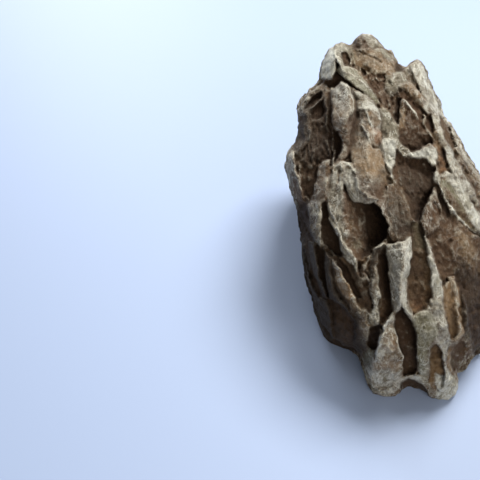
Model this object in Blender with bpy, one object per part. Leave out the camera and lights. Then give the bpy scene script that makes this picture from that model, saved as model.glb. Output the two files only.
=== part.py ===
"""Dragon stone: one weathered rock, lying on its belly on two blunt feet.

Its sloping face is cut into long almond hollows with thin rims between them, all running
down from one place above the head of the stone, like folds hung from a point.

Frame: millimetres in the tables, metres in the mesh, +Z up.  The stone stands on Z = 0, its
feet towards -Y and its tall blunt end towards +Y, the origin at the bottom centre of its
bounding box.

The sloping face is laid out on a tilted plane, the face grid: a place on it is (across, up)
in whole steps from the middle of the face.  Everything on the face is pressed in along lines
that meet at one point in front of it, the press point.
"""
import math
import random

import bmesh
import bpy
import numpy as np
from mathutils import Matrix, Vector
from mathutils.bvhtree import BVHTree

MM = 0.001
NAME = "dragon_stone"

# ---- driving sizes -------------------------------------------------------------------------
LENGTH = 200.0              # mm, along Y, over the feet and the far end
WIDTH = 134.0               # mm, along X, over the widest part of the flanks
HEIGHT = 130.4              # mm, from the ground to the top of the crown
STEP = 0.6                  # mm, one step of the face grid
FACE_TILT = math.radians(45.0)      # the face grid leans back this much from upright
FACE_HEIGHT = 62.0          # mm, height of the middle of the face above the ground
PRESS_DISTANCE = 400.0      # mm, from the middle of the face grid to the press point
PRESS_ASIDE = (-148, -18)   # steps, where the press point stands over the face grid
CLEANING_VOXEL = 2.4        # mm, how finely the rough body is fused
WEATHERING = 2              # times the rough body is smoothed
DETAIL_VOXEL = 1.5          # mm, how finely the pocketed body is fused
FACET_COUNT = 9600          # triangles left in the finished solid
GROUND_SNAP = 0.9           # mm, what lies this low is flattened on to the ground
SEED = 14                    # of the hollows strewn over the back and the underside

# ---- outline of the face, in steps, clockwise from the notch left of the crown ---------------
OUTLINE = (
    (-34, 178), (-31, 185), (-25, 189), (-16, 187), (-7, 176), (3, 171), (10, 162), (16, 153),
    (21, 157), (26, 162), (33, 158), (40, 147), (44, 134), (53, 116), (58, 103), (71, 85),
    (79, 67), (88, 52), (98, 36), (109, 12), (114, -18), (115, -53), (110, -88), (102, -116),
    (94, -134), (84, -137), (80, -148), (71, -155), (72, -163), (68, -177), (59, -183), (48, -181),
    (38, -176), (26, -171), (15, -169), (10, -175), (2, -180), (-11, -177), (-20, -170),
    (-24, -157), (-29, -140), (-36, -131), (-50, -128), (-61, -122), (-69, -107), (-77, -83),
    (-83, -63), (-87, -33), (-89, -8), (-94, 17), (-100, 35), (-104, 53), (-103, 66), (-94, 79),
    (-91, 92), (-93, 110), (-87, 124), (-76, 134), (-67, 139), (-70, 146), (-65, 160), (-60, 173),
    (-51, 179), (-43, 178), (-38, 175),
)
SPINE_FOOT = (4, -100)      # steps, the face is highest along a line from here ...
SPINE_HEAD = (-14, 118)     # ... to here

# ---- how far things stand out of the face grid, mm, by height up the face, mm ----------------
CREST_LIFT = ((-112, 26), (-100, 38), (-73, 45), (-40, 44), (-5, 38), (54, 14), (95, -9), (114, -20))
EDGE_LIFT = ((-112, 19), (-100, 10), (-76, -10), (-40, -14), (0, -14), (54, -24), (114, -32))
CREST_ROUNDNESS = 2.6       # 2 is a round face, more is a flatter one with a rounder edge
BELLY_DEPTH = 125.0         # mm, the body behind the outline before it is cut flat
BELLY_ROUNDNESS = 2.1
RINGS = (0.97, 0.88, 0.74, 0.56, 0.34, 0.12)    # share of the outline kept by each ring

# ---- flats that end the body: direction they face, distance from the frame's zero, mm --------
FLATS = {
    "far_end": ((0.0, 1.0, 0.05), 112.0),
    "far_right": ((0.75, 1.0, -0.1), 98.0),
    "far_left": ((-0.75, 1.0, -0.25), 99.0),
    "right_side": ((1.0, 0.0, 0.0), 71.0),
    "left_side": ((-1.0, 0.0, -0.15), 61.0),
    "right_undercut": ((0.62, 0.2, -1.0), 30.0),
    "ground": ((0.0, 0.0, -1.0), 0.0),
}

# ---- plates, hollows and rims of the face, laid one over another in this order ---------------
# corners: (across, up) in steps and how far they stand proud of the rough body, mm
PLATES = {
    "crown_face": ((-38, 174, 0), (-32, 174, 2), (-22, 173, 3), (-10, 171, 3), (0, 167, 2),
        (8, 160, 1), (16, 150, 0), (10, 146, 0), (2, 145, 2), (-8, 146, 2), (-18, 148, 1),
        (-27, 151, 0), (-33, 156, 0), (-37, 162, 0)),
    "crown_face_low": ((-21, 156, 2), (-11, 158, 3), (-2, 152, 2), (1, 144, 2), (-10, 143, 1),
        (-17, 147, 1)),
    "block_left": ((-69, 143, -2), (-63, 160, 0), (-59, 172, 1), (-54, 175, 5), (-53, 164, 7),
        (-54, 154, 6), (-58, 144, 2)),
    "block_front": ((-54, 176, 4), (-48, 178, 3), (-40, 174, 0), (-37, 164, -1), (-37, 154, 2),
        (-43, 151, 4), (-48, 153, 7), (-53, 162, 7)),
    "block_under": ((-68, 143, -2), (-58, 145, -1), (-52, 149, -2), (-46, 146, -5),
        (-42, 138, -8), (-50, 134, -8), (-60, 133, -7), (-66, 135, -5)),
    "crown_slope": ((-53, 150, 3), (-48, 154, 6), (-42, 154, 5), (-36, 152, 3), (-28, 145, 2),
        (-21, 138, 2), (-14, 130, 1), (-8, 118, 1), (-12, 116, 1), (-20, 123, 2), (-28, 129, 3),
        (-36, 136, 4), (-45, 143, 4)),
    "slope_crevice": ((-48, 142, -3), (-38, 134, -3), (-28, 127, -1), (-19, 121, -2),
        (-11, 115, -3), (-7, 104, -3), (-9, 103, -2), (-17, 114, -2), (-28, 123, -1),
        (-36, 130, -2), (-44, 135, -4), (-50, 138, -5)),
    "crumbled": ((-24, 143, 0), (-17, 146, -1), (-4, 145, -2), (-1, 139, -2), (-2, 132, -2),
        (2, 124, -3), (9, 118, -4), (10, 104, -6), (4, 101, -5), (-4, 112, -3), (-10, 121, -2),
        (-17, 131, -1)),
    "head_middle": ((-4, 144, 1), (4, 145, 2), (12, 148, 1), (20, 151, 0), (22, 142, 0),
        (17, 135, 1), (10, 132, 1), (6, 126, -1), (1, 124, -3), (-3, 131, -2), (-3, 138, -1)),
    "head_gap": ((16, 150, -1), (22, 153, -1), (24, 144, -2), (29, 135, -2), (36, 124, -3),
        (32, 124, -4), (24, 133, -3), (19, 138, -1)),
    "head_hollow": ((8, 123, -5), (11, 127, -5), (17, 127, -3), (24, 121, -4), (30, 113, -5),
        (36, 103, -6), (32, 100, -6), (25, 107, -7), (19, 115, -7), (13, 121, -8)),
    "outer_plate": ((21, 154, 1), (27, 159, 2), (33, 156, 1), (39, 146, 0), (43, 135, 0),
        (46, 126, 0), (52, 116, 0), (59, 104, 0), (54, 101, 1), (48, 107, 1), (41, 115, 1),
        (35, 124, 1), (29, 135, 1), (24, 146, 1)),
    "long_ridge_top": ((11, 132, 1), (16, 136, 3), (22, 136, 4), (29, 129, 5), (37, 119, 6),
        (43, 110, 6), (36, 109, 4), (30, 115, 3), (24, 122, 3), (17, 128, 2)),
    "long_ridge": ((33, 122, 5), (43, 114, 6), (50, 104, 6), (53, 96, 6), (56, 86, 5),
        (61, 75, 4), (65, 65, 3), (59, 65, 2), (53, 75, 2), (48, 86, 3), (43, 98, 3),
        (36, 109, 3)),
    "ridge_side": ((35, 105, 1), (43, 98, 3), (48, 86, 3), (53, 75, 3), (52, 70, 0),
        (46, 76, -2), (41, 85, -3), (37, 94, -2)),
    "almond_leaf": ((14, 120, 1), (18, 116, 1), (23, 110, 0), (29, 103, -1), (35, 95, -2),
        (41, 85, -4), (43, 75, -8), (38, 69, -9), (29, 67, -10), (19, 69, -9), (12, 76, -6),
        (10, 89, -3), (10, 102, -2), (11, 112, -1)),
    "flank_pocket": ((52, 103, -1), (58, 97, -3), (64, 87, -4), (68, 74, -4), (64, 71, -3),
        (58, 80, -3), (54, 91, -3)),
    "flank_top": ((55, 108, 1), (60, 104, 0), (72, 85, 0), (82, 69, 0), (92, 50, 0),
        (104, 22, -1), (96, 22, 0), (84, 44, 1), (72, 67, 1), (64, 84, 1)),
    "flank_slab": ((56, 72, 3), (62, 67, 3), (69, 57, 3), (76, 44, 3), (84, 30, 2), (92, 14, 1),
        (82, 20, 1), (72, 32, 2), (64, 44, 3), (59, 56, 3)),
    "flank_streak": ((46, 74, 0), (53, 71, -2), (57, 60, -2), (58, 48, -2), (52, 46, -2),
        (49, 58, -1)),
    "scale_left": ((-47, 138, 7), (-52, 134, 5), (-58, 125, 2), (-58, 112, 2), (-56, 103, 3),
        (-52, 98, 5), (-43, 99, 8), (-38, 110, 9), (-38, 122, 9), (-42, 132, 9)),
    "scale_right": ((-43, 135, 8), (-36, 130, 3), (-32, 119, 1), (-30, 109, 0), (-31, 100, 0),
        (-35, 91, 2), (-42, 89, 6), (-43, 99, 8), (-38, 110, 9), (-38, 122, 9)),
    "scale_tail": ((-50, 90, 4), (-42, 90, 7), (-36, 92, 4), (-38, 82, 3), (-40, 72, 2),
        (-45, 62, 1), (-51, 53, 1), (-53, 54, 0), (-49, 62, 1), (-47, 72, 2), (-47, 82, 3)),
    "tan_left": ((-36, 90, 1), (-31, 106, 0), (-27, 98, 3), (-23, 84, 5), (-20, 62, 6),
        (-19, 40, 6), (-22, 19, 4), (-28, 21, 5), (-31, 31, 5), (-32, 42, 4), (-36, 57, 3),
        (-39, 74, 1)),
    "tan_right": ((-23, 84, 5), (-20, 80, 5), (-15, 72, 5), (-7, 70, 3), (-3, 52, 2),
        (-2, 36, 0), (-6, 24, 0), (-14, 18, 1), (-22, 19, 3), (-19, 40, 6), (-20, 62, 6)),
    "shard_face": ((-30, 111, 2), (-22, 111, 6), (-14, 109, 6), (-9, 102, 4), (-7, 92, 3),
        (-6, 82, 2), (-9, 73, 1), (-15, 71, 2), (-20, 80, 6), (-24, 90, 6), (-28, 99, 4)),
    "shard_top": ((-39, 133, 3), (-32, 129, 4), (-22, 123, 4), (-12, 115, 3), (-8, 110, 2),
        (-9, 101, 3), (-14, 108, 6), (-22, 110, 7), (-30, 110, 3), (-33, 120, 1)),
    "green_middle": ((-8, 110, 0), (-3, 110, 0), (4, 101, 0), (10, 92, -1), (11, 81, -1),
        (14, 72, -1), (8, 75, 1), (2, 80, 1), (-6, 81, 0), (-7, 92, 0)),
    "knob_middle": ((-9, 75, 2), (-5, 80, 3), (1, 82, 4), (7, 79, 4), (11, 72, 3), (10, 64, 1),
        (6, 56, 1), (3, 48, 0), (0, 50, 2), (-4, 59, 2), (-7, 65, 2)),
    "knob_gap": ((8, 70, -1), (13, 69, -2), (19, 65, -3), (29, 60, -4), (36, 59, -4),
        (43, 53, -4), (46, 47, -3), (36, 48, -5), (24, 52, -6), (12, 54, -5), (7, 60, -3)),
    "knob_bar": ((8, 80, 1), (13, 75, 1), (19, 70, 0), (24, 65, -1), (20, 60, -2), (14, 64, -1),
        (10, 70, 0)),
    "recess_upper": ((4, 52, -1), (11, 55, -4), (24, 53, -6), (36, 50, -6), (45, 44, -3),
        (45, 32, -3), (36, 28, -6), (24, 30, -4), (12, 32, -2), (6, 40, 0)),
    "recess_lower": ((11, 32, -2), (24, 30, -4), (36, 28, -6), (43, 30, -5), (40, 23, -8),
        (35, 14, -11), (32, 4, -12), (28, -3, -8), (23, 3, -4), (17, 16, -2)),
    "recess_slot": ((42, 27, -7), (36, 16, -12), (33, 7, -14), (30, -2, -13), (28, 0, -10),
        (30, 10, -10), (34, 20, -9)),
    "wedge": ((-4, 25, 1), (0, 34, 1), (6, 38, 0), (12, 30, -1), (17, 18, -1), (23, 7, -1),
        (23, -2, -1), (21, -11, -1), (21, -19, 0), (16, -21, 1), (8, -22, 1), (3, -21, 1),
        (-2, -9, 2), (-8, 5, 3), (-15, 17, 3), (-10, 20, 2)),
    "boss_left": ((-62, 34, 2), (-55, 38, 3), (-47, 34, 3), (-45, 22, 3), (-43, 7, 2),
        (-41, -13, 1), (-39, -31, 0), (-45, -31, 1), (-49, -20, 2), (-52, -10, 2), (-58, -3, 2),
        (-62, 10, 2), (-63, 22, 1)),
    "boss_middle": ((-46, 34, 1), (-42, 26, 0), (-35, 19, -2), (-24, 17, -8), (-18, -3, -10),
        (-18, -23, -10), (-22, -36, -7), (-30, -42, -1), (-38, -38, 0), (-41, -30, 1),
        (-43, -13, 2), (-45, 7, 2), (-46, 22, 2)),
    "cave_deep": ((-25, 18, -8), (-16, 18, -12), (-10, 12, -14), (-4, 3, -16), (0, -8, -17),
        (-2, -17, -15), (-8, -23, -12), (-14, -29, -10), (-21, -36, -7), (-20, -21, -10),
        (-21, -3, -10)),
    "arch_left": ((-63, 38, 2), (-59, 44, 3), (-57, 53, 3), (-52, 57, 4), (-46, 57, 5),
        (-42, 48, 6), (-43, 38, 4), (-46, 30, 3), (-47, 23, 3), (-54, 23, 3), (-60, 27, 2)),
    "arch_right": ((-47, 57, 4), (-38, 57, 5), (-32, 50, 5), (-30, 41, 6), (-26, 32, 6),
        (-19, 25, 5), (-11, 20, 4), (-16, 16, 2), (-25, 16, 1), (-34, 18, 1), (-39, 24, 1),
        (-43, 33, 2), (-45, 40, 4), (-43, 48, 6)),
    "boss_drip": ((-47, -18, 2), (-42, -25, 3), (-37, -32, 3), (-32, -43, 2), (-31, -53, 1),
        (-35, -50, 0), (-41, -42, 1), (-46, -34, 1), (-48, -25, 2)),
    "window_frame": ((-91, 109, 0), (-85, 120, 0), (-77, 129, 0), (-66, 136, 0), (-59, 131, -3),
        (-57, 117, -4), (-57, 96, -4), (-66, 95, -3), (-78, 98, -1), (-87, 96, 0)),
    "left_panel": ((-88, 95, 0), (-78, 97, -2), (-68, 95, -4), (-59, 94, -4), (-55, 82, -5),
        (-55, 62, -5), (-58, 55, -4), (-71, 53, -5), (-82, 51, -4), (-92, 62, 0), (-93, 75, 0)),
    "panel_column": ((-89, 110, 0), (-82, 110, 2), (-79, 97, 1), (-80, 82, 0), (-86, 70, 0),
        (-94, 75, -1), (-89, 92, 0)),
    "plank": ((-69, 54, 1), (-65, 58, 3), (-59, 59, 3), (-59, 47, 3), (-62, 32, 4), (-64, 20, 4),
        (-70, 17, 3), (-77, 15, 2), (-77, 22, 1), (-73, 34, 1), (-70, 44, 1)),
    "plank_gap": ((-85, 51, -4), (-71, 53, -6), (-71, 42, -7), (-75, 31, -6), (-78, 19, -5),
        (-83, 23, -4), (-86, 36, -3)),
    "left_column": ((-104, 58, 0), (-101, 66, 0), (-95, 67, 2), (-93, 57, 3), (-90, 50, 3),
        (-84, 40, 3), (-81, 29, 2), (-82, 16, 0), (-87, 17, 0), (-92, 21, 0), (-97, 30, 0),
        (-101, 40, 0)),
    "far_column": ((-82, 13, 2), (-76, 18, 3), (-70, 19, 3), (-65, 14, 2), (-66, 0, 2),
        (-67, -16, 2), (-68, -26, 1), (-76, -20, 1), (-80, -7, 1), (-82, 4, 1)),
    "column_gap": ((-91, 20, -2), (-83, 16, -4), (-80, 2, -4), (-79, -10, -5), (-75, -21, -5),
        (-82, -26, -4), (-89, -18, -1), (-91, -3, 0)),
    "pillar_groove": ((-66, 16, -3), (-62, 14, -3), (-60, 0, -4), (-55, -9, -6), (-50, -19, -7),
        (-48, -29, -7), (-47, -37, -6), (-53, -34, -6), (-60, -27, -6), (-67, -19, -3),
        (-66, -3, -3)),
    "left_outer": ((-89, -20, 0), (-83, -23, 1), (-79, -40, 1), (-74, -58, 1), (-67, -78, 1),
        (-66, -96, 0), (-72, -105, -1), (-79, -83, -1), (-85, -63, -1), (-89, -40, -1)),
    "flute_edge": ((-84, -22, -2), (-79, -27, -4), (-75, -46, -5), (-70, -64, -5),
        (-66, -78, -4), (-70, -77, -3), (-76, -63, -4), (-81, -46, -3)),
    "flute_rib": ((-79, -22, 0), (-73, -27, 2), (-70, -46, 2), (-65, -66, 2), (-60, -81, 1),
        (-64, -79, 0), (-70, -63, 0), (-75, -46, 0)),
    "flute_front": ((-73, -27, -3), (-66, -31, -4), (-63, -48, -5), (-60, -66, -5),
        (-57, -79, -4), (-61, -76, -4), (-67, -58, -4), (-70, -43, -4)),
    "thin_strip": ((-63, -33, 1), (-58, -39, 2), (-56, -53, 2), (-57, -63, 2), (-54, -73, 2),
        (-46, -83, 2), (-37, -95, 1), (-30, -105, 0), (-38, -100, 0), (-48, -89, 0),
        (-58, -79, 0), (-61, -63, 0), (-63, -48, 0)),
    "strip_flow": ((-46, -40, -1), (-38, -46, -1), (-31, -54, 0), (-24, -68, -1), (-18, -80, -1),
        (-18, -95, -1), (-26, -89, -2), (-32, -80, -2), (-39, -68, -3), (-45, -54, -3),
        (-50, -44, -3)),
    "strip_gap": ((-51, -38, -3), (-45, -44, -4), (-40, -54, -4), (-34, -65, -4), (-27, -77, -3),
        (-31, -79, -3), (-38, -70, -4), (-45, -58, -3)),
    "tan_strip": ((-57, -38, 1), (-52, -45, 3), (-46, -57, 3), (-39, -69, 3), (-32, -80, 3),
        (-25, -91, 1), (-31, -91, 0), (-39, -82, 0), (-47, -71, 0), (-53, -57, 0), (-57, -47, 0)),
    "belly_left": ((-66, -78, -2), (-58, -80, -3), (-46, -87, -4), (-36, -98, -5),
        (-29, -110, -5), (-30, -128, -4), (-40, -131, -3), (-52, -128, -2), (-62, -122, -1),
        (-70, -104, -1)),
    "belly_edge": ((-68, -78, 0), (-60, -81, 1), (-57, -98, 1), (-55, -118, 0), (-62, -120, -1),
        (-71, -104, 0)),
    "low_rib": ((-32, -96, 0), (-24, -90, 1), (-18, -94, 1), (-19, -108, 1), (-22, -123, 1),
        (-23, -138, 1), (-22, -154, 0), (-28, -140, -1), (-34, -126, -1), (-34, -108, -1)),
    "slot_centre": ((-11, -34, -3), (-4, -32, -5), (1, -38, -7), (1, -58, -8), (2, -73, -7),
        (3, -80, -6), (-4, -79, -4), (-8, -78, -3), (-10, -68, -3), (-11, -53, -3)),
    "slot_block": ((-16, -35, 1), (-14, -28, 2), (-9, -24, 2), (-3, -25, 0), (1, -30, -2),
        (-4, -35, -3), (-10, -34, 0), (-12, -41, 1), (-14, -54, 2), (-15, -68, 2), (-14, -79, 2),
        (-17, -77, 0), (-19, -63, 0), (-19, -46, 0)),
    "slot_strip": ((-13, -48, 2), (-11, -58, 2), (-8, -76, 1), (-9, -89, 1), (-11, -100, 0),
        (-15, -91, 1), (-16, -78, 1), (-15, -63, 2)),
    "foot_small": ((-10, -79, -3), (-4, -80, -4), (3, -79, -5), (3, -90, -3), (-1, -100, -2),
        (-6, -105, -2), (-10, -98, -2), (-10, -88, -2)),
    "foot_slot": ((-18, -109, -3), (-11, -106, -4), (-7, -107, -4), (-9, -118, -5),
        (-11, -128, -4), (-16, -131, -3), (-20, -127, -3), (-20, -116, -3)),
    "pillar_west": ((-2, -26, 2), (5, -24, 6), (13, -23, 8), (16, -40, 9), (13, -53, 8),
        (11, -68, 7), (13, -83, 6), (10, -89, 3), (6, -93, 2), (3, -87, 1), (2, -73, 2),
        (0, -58, 2), (-1, -43, 2)),
    "pillar_east": ((13, -23, 8), (21, -18, 6), (22, -28, 5), (23, -38, 5), (22, -48, 4),
        (19, -59, 3), (17, -69, 3), (18, -79, 4), (22, -88, 3), (25, -98, 2), (23, -102, 2),
        (18, -98, 3), (14, -89, 5), (13, -83, 6), (11, -68, 7), (13, -53, 8), (16, -40, 9)),
    "groove_top": ((22, -3, -4), (30, -3, -6), (36, -9, -6), (38, -18, -5), (37, -28, -4),
        (31, -31, -4), (24, -35, -5), (23, -26, -5)),
    "right_groove": ((23, -40, -6), (26, -32, -5), (32, -28, -4), (38, -32, -3), (41, -44, -1),
        (42, -58, -1), (43, -70, -1), (41, -80, -2), (36, -88, -2), (30, -94, -1), (24, -92, -1),
        (21, -83, -4), (19, -73, -5), (19, -60, -6), (21, -50, -7)),
    "crest_upper": ((37, -15, 1), (40, -26, 3), (43, -36, 4), (48, -48, 4), (52, -61, 4),
        (55, -77, 4), (48, -81, 4), (43, -80, 2), (42, -68, 2), (42, -54, 2), (39, -36, 2),
        (37, -24, 1)),
    "crest_lower": ((42, -78, 2), (48, -80, 4), (55, -78, 4), (56, -90, 4), (59, -102, 4),
        (63, -115, 3), (58, -119, 3), (50, -118, 4), (49, -106, 4), (46, -96, 3), (40, -89, 2)),
    "right_face": ((38, -4, 0), (46, -2, 1), (53, -1, 0), (61, 5, -1), (68, 0, -1), (78, -9, 0),
        (90, -18, 0), (102, -28, 0), (112, -40, -1), (116, -63, -2), (112, -80, -3),
        (97, -78, -4), (82, -75, -4), (70, -68, -5), (61, -62, -5), (56, -62, -3), (52, -53, -3),
        (47, -40, -3), (43, -28, -3), (39, -16, -2)),
    "right_facet": ((64, -14, 0), (72, -12, 0), (82, -22, 0), (90, -40, -1), (82, -60, -3),
        (72, -62, -4), (64, -46, -3), (61, -28, -1)),
    "almond_floor": ((52, 40, -1), (58, 42, 1), (65, 35, 1), (71, 26, 0), (76, 15, -1),
        (81, 3, -1), (89, -10, 0), (86, -11, -2), (78, -5, -4), (70, 4, -4), (63, 15, -4),
        (57, 25, -3), (52, 33, -2)),
    "almond_outer": ((53, 44, 2), (58, 48, 3), (66, 42, 3), (74, 31, 3), (82, 18, 3), (90, 4, 3),
        (100, -14, 1), (92, -14, 1), (85, -6, 2), (78, 7, 3), (73, 20, 3), (67, 31, 3),
        (59, 38, 2)),
    "pointed_scale": ((45, 32, 2), (49, 23, 2), (52, 12, 1), (54, 0, 0), (50, -8, 0),
        (43, -12, 1), (40, -14, 1), (36, -14, 0), (33, -5, 0), (35, 6, 1), (38, 16, 2),
        (42, 24, 2)),
    "knob_ridge": ((16, 68, -1), (23, 67, 0), (31, 69, 1), (35, 73, 3), (41, 75, 3), (46, 72, 3),
        (48, 64, 3), (47, 55, 1), (43, 53, 1), (40, 59, 1), (34, 62, 1), (26, 62, 0),
        (20, 63, -1)),
    "low_hollow": ((6, -98, -4), (8, -92, -7), (13, -89, -9), (17, -96, -10), (22, -103, -10),
        (26, -111, -10), (28, -123, -10), (29, -136, -9), (28, -148, -7), (25, -155, -4),
        (18, -157, -3), (13, -160, -2), (12, -150, -4), (13, -138, -6), (10, -127, -6),
        (6, -116, -5), (5, -106, -4)),
    "olive_plate": ((23, -99, 1), (30, -93, 1), (39, -89, 2), (46, -95, 3), (50, -106, 4),
        (48, -116, 4), (42, -122, 3), (39, -130, 3), (38, -140, 3), (38, -153, 2), (32, -157, 1),
        (29, -150, 0), (28, -136, 0), (28, -120, 0), (26, -109, 0)),
    "foot_west": ((0, -99, 2), (-6, -106, 0), (-9, -116, -1), (-11, -128, -1), (-17, -130, -1),
        (-26, -129, -1), (-26, -140, -1), (-22, -154, -1), (-19, -166, -1), (-14, -171, -1),
        (-10, -158, 3), (-7, -143, 5), (-3, -126, 6), (0, -112, 5)),
    "foot_east": ((0, -99, 3), (5, -90, 2), (6, -108, 1), (9, -124, 2), (14, -138, 1),
        (13, -149, 1), (11, -160, 1), (5, -162, 3), (-3, -158, 4), (-7, -143, 5), (-3, -126, 6),
        (0, -112, 5)),
    "foot_toe": ((-14, -171, -1), (-10, -158, 3), (-3, -158, 4), (5, -162, 3), (11, -160, 1),
        (14, -162, 0), (11, -170, -1), (3, -177, -2), (-6, -177, -1)),
    "hollow_sill": ((12, -160, 0), (18, -156, 1), (25, -155, 1), (31, -156, 2), (36, -162, 2),
        (44, -171, 1), (39, -173, 0), (31, -166, 0), (24, -161, -1), (17, -162, -1),
        (13, -168, -1)),
    "foot_middle": ((38, -130, 3), (43, -124, 3), (45, -130, 1), (42, -142, 0), (40, -158, 0),
        (44, -169, 1), (48, -175, 0), (40, -172, 0), (32, -159, 1), (37, -152, 2), (38, -140, 3)),
    "foot_right": ((47, -125, 3), (50, -116, 4), (58, -117, 3), (64, -120, 2), (62, -130, 2),
        (60, -140, 2), (62, -150, 2), (67, -158, 1), (72, -161, 0), (68, -175, -1),
        (62, -182, -2), (50, -181, -2), (43, -175, -1), (49, -171, 0), (54, -166, 2),
        (56, -156, 4), (54, -144, 4), (52, -133, 4)),
    "right_foot_hollow": ((44, -128, -1), (48, -125, -2), (52, -133, -3), (54, -144, -2),
        (55, -156, -2), (53, -166, -2), (49, -171, -2), (43, -167, -2), (40, -158, -3),
        (41, -142, -2)),
    "lower_groove": ((55, -68, -1), (61, -61, -2), (65, -68, -3), (66, -78, -3), (68, -90, -3),
        (68, -104, -3), (68, -115, -3), (63, -119, -2), (59, -110, -1), (57, -96, -1),
        (55, -82, 0)),
    "right_low": ((68, -68, -3), (82, -74, -4), (98, -78, -4), (112, -80, -3), (110, -108, -3),
        (100, -130, -2), (84, -136, -2), (78, -128, -2), (74, -108, -2), (70, -88, -2)),
    "right_low_recess": ((80, -89, -4), (88, -85, -5), (101, -89, -5), (105, -108, -5),
        (100, -127, -4), (88, -133, -3), (83, -121, -4), (80, -105, -4)),
    "thin_ridge": ((74, -76, 0), (78, -89, 1), (79, -108, 1), (82, -128, 1), (84, -140, 0),
        (82, -149, 0), (78, -141, -1), (76, -123, -1), (74, -103, -1)),
    "lower_hollow": ((63, -128, -3), (70, -123, -4), (74, -128, -5), (76, -138, -4),
        (77, -147, -4), (70, -152, -3), (64, -151, -3), (62, -140, -3)),
    "fork_ridge": ((60, -59, 0), (65, -56, 1), (68, -68, 2), (70, -80, 2), (70, -92, 3),
        (72, -103, 3), (74, -112, 3), (70, -121, 2), (65, -126, 2), (62, -134, 2), (61, -142, 2),
        (64, -152, 2), (70, -161, 1), (64, -158, 1), (59, -149, 1), (58, -138, 2), (60, -128, 2),
        (65, -121, 2), (68, -114, 2), (68, -102, 1), (67, -90, 1), (65, -76, 1), (63, -66, 0)),
    "arch_shade": ((13, -164, -6), (20, -160, -8), (28, -162, -8), (35, -168, -8),
        (39, -175, -8), (30, -175, -9), (20, -173, -9), (13, -171, -7)),
}
PROUD_SHARE = 1.6           # plates stand out this much more than they are written ...
SUNK_SHARE = 1.5            # ... and hollows are sunk this much more
PLATE_EDGE = 1.6            # steps over which a plate runs into what lies under it
RELIEF_FULL = 18.0          # mm behind the outline where the relief is still whole ...
RELIEF_NONE = 55.0          # ... and where it has died away

HOLLOW_SWELL = 0.75         # how soon a hollow narrows towards its ends
CUTTER_LIFT = 9.0           # mm, a cutter stands at least this far out of the skin

# ---- hollows strewn over the sides that are not laid out one by one ---------------------------
STREWN_COUNT = 80
STREWN_LENGTH = (26.0, 56.0)    # mm
STREWN_WIDTH = (9.0, 17.0)      # mm
STREWN_DEPTH = (7.0, 12.0)      # mm
SOUND_WALL = 30.0               # mm, stone left behind a strewn hollow
REST_PATCH = (-12.0, 24.0, 20.0)  # mm, X, Y and radius of the ground flat that stays whole

STONE_COLOUR = (0.23, 0.19, 0.15, 1.0)
STONE_ROUGHNESS = 0.85

RIGHT = Vector((1.0, 0.0, 0.0))
UP = Vector((0.0, math.sin(FACE_TILT), math.cos(FACE_TILT)))
OUT = Vector((0.0, -math.cos(FACE_TILT), math.sin(FACE_TILT)))
FACE_CENTRE = Vector((0.0, 0.0, FACE_HEIGHT))
PRESS_POINT = (FACE_CENTRE + (RIGHT * PRESS_ASIDE[0] + UP * PRESS_ASIDE[1]) * STEP
               + OUT * PRESS_DISTANCE)


def face_point(place, lift):
    """The point (mm) seen from the press point through a grid place, `lift` mm off the grid."""
    on_grid = FACE_CENTRE + (RIGHT * place[0] + UP * place[1]) * STEP
    return PRESS_POINT + (on_grid - PRESS_POINT) * (1.0 - lift / PRESS_DISTANCE)


def lift_at(table, up_steps):
    heights, lifts = zip(*table)
    return float(np.interp(up_steps * STEP, heights, lifts))


def spine_place(place):
    """The nearest place on the spine of the face."""
    foot, head = Vector(SPINE_FOOT), Vector(SPINE_HEAD)
    along = head - foot
    t = (Vector(place) - foot).dot(along) / along.length_squared
    return foot + along * min(max(t, 0.0), 1.0)


def domed(share, roundness):
    """0 at the outline (share 1) rising to 1 on the spine (share 0)."""
    return (1.0 - share ** roundness) ** (1.0 / roundness)


def ring_points(share, front):
    points = []
    for place in OUTLINE:
        middle = spine_place(place)
        here = middle + (Vector(place) - middle) * share
        edge = lift_at(EDGE_LIFT, here.y)
        if front:
            rise = (lift_at(CREST_LIFT, here.y) - edge) * domed(share, CREST_ROUNDNESS)
        else:
            rise = -BELLY_DEPTH * domed(share, BELLY_ROUNDNESS)
        points.append(face_point(here, edge + rise))
    return points


def rough_body():
    """Rings shrinking from the outline to the spine, in front and behind, skinned and capped."""
    bm = bmesh.new()
    rings = [ring_points(share, True) for share in reversed(RINGS)]
    rings.append(ring_points(1.0, True))
    rings += [ring_points(share, False) for share in RINGS]
    loops = [[bm.verts.new(point) for point in ring] for ring in rings]
    count = len(OUTLINE)
    for near, far in zip(loops, loops[1:]):
        for i in range(count):
            j = (i + 1) % count
            bm.faces.new((near[i], near[j], far[j], far[i]))
    bm.faces.new(loops[0])
    bm.faces.new(list(reversed(loops[-1])))
    bmesh.ops.triangulate(bm, faces=bm.faces[:])
    bmesh.ops.recalc_face_normals(bm, faces=bm.faces[:])
    for direction, distance in FLATS.values():
        cut_flat(bm, Vector(direction).normalized(), distance)
    return bm


def cut_flat(bm, direction, distance):
    geometry = bm.verts[:] + bm.edges[:] + bm.faces[:]
    cut = bmesh.ops.bisect_plane(bm, geom=geometry, plane_co=direction * distance,
                                 plane_no=direction, clear_outer=True)
    rim = [e for e in cut["geom_cut"] if isinstance(e, bmesh.types.BMEdge)]
    bmesh.ops.holes_fill(bm, edges=rim, sides=0)
    bmesh.ops.triangulate(bm, faces=[f for f in bm.faces if len(f.verts) > 3])


def object_from(bm, name):
    mesh = bpy.data.meshes.new(name)
    bmesh.ops.recalc_face_normals(bm, faces=bm.faces[:])
    bm.to_mesh(mesh)
    bm.free()
    piece = bpy.data.objects.new(name, mesh)
    bpy.context.scene.collection.objects.link(piece)
    return piece


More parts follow.
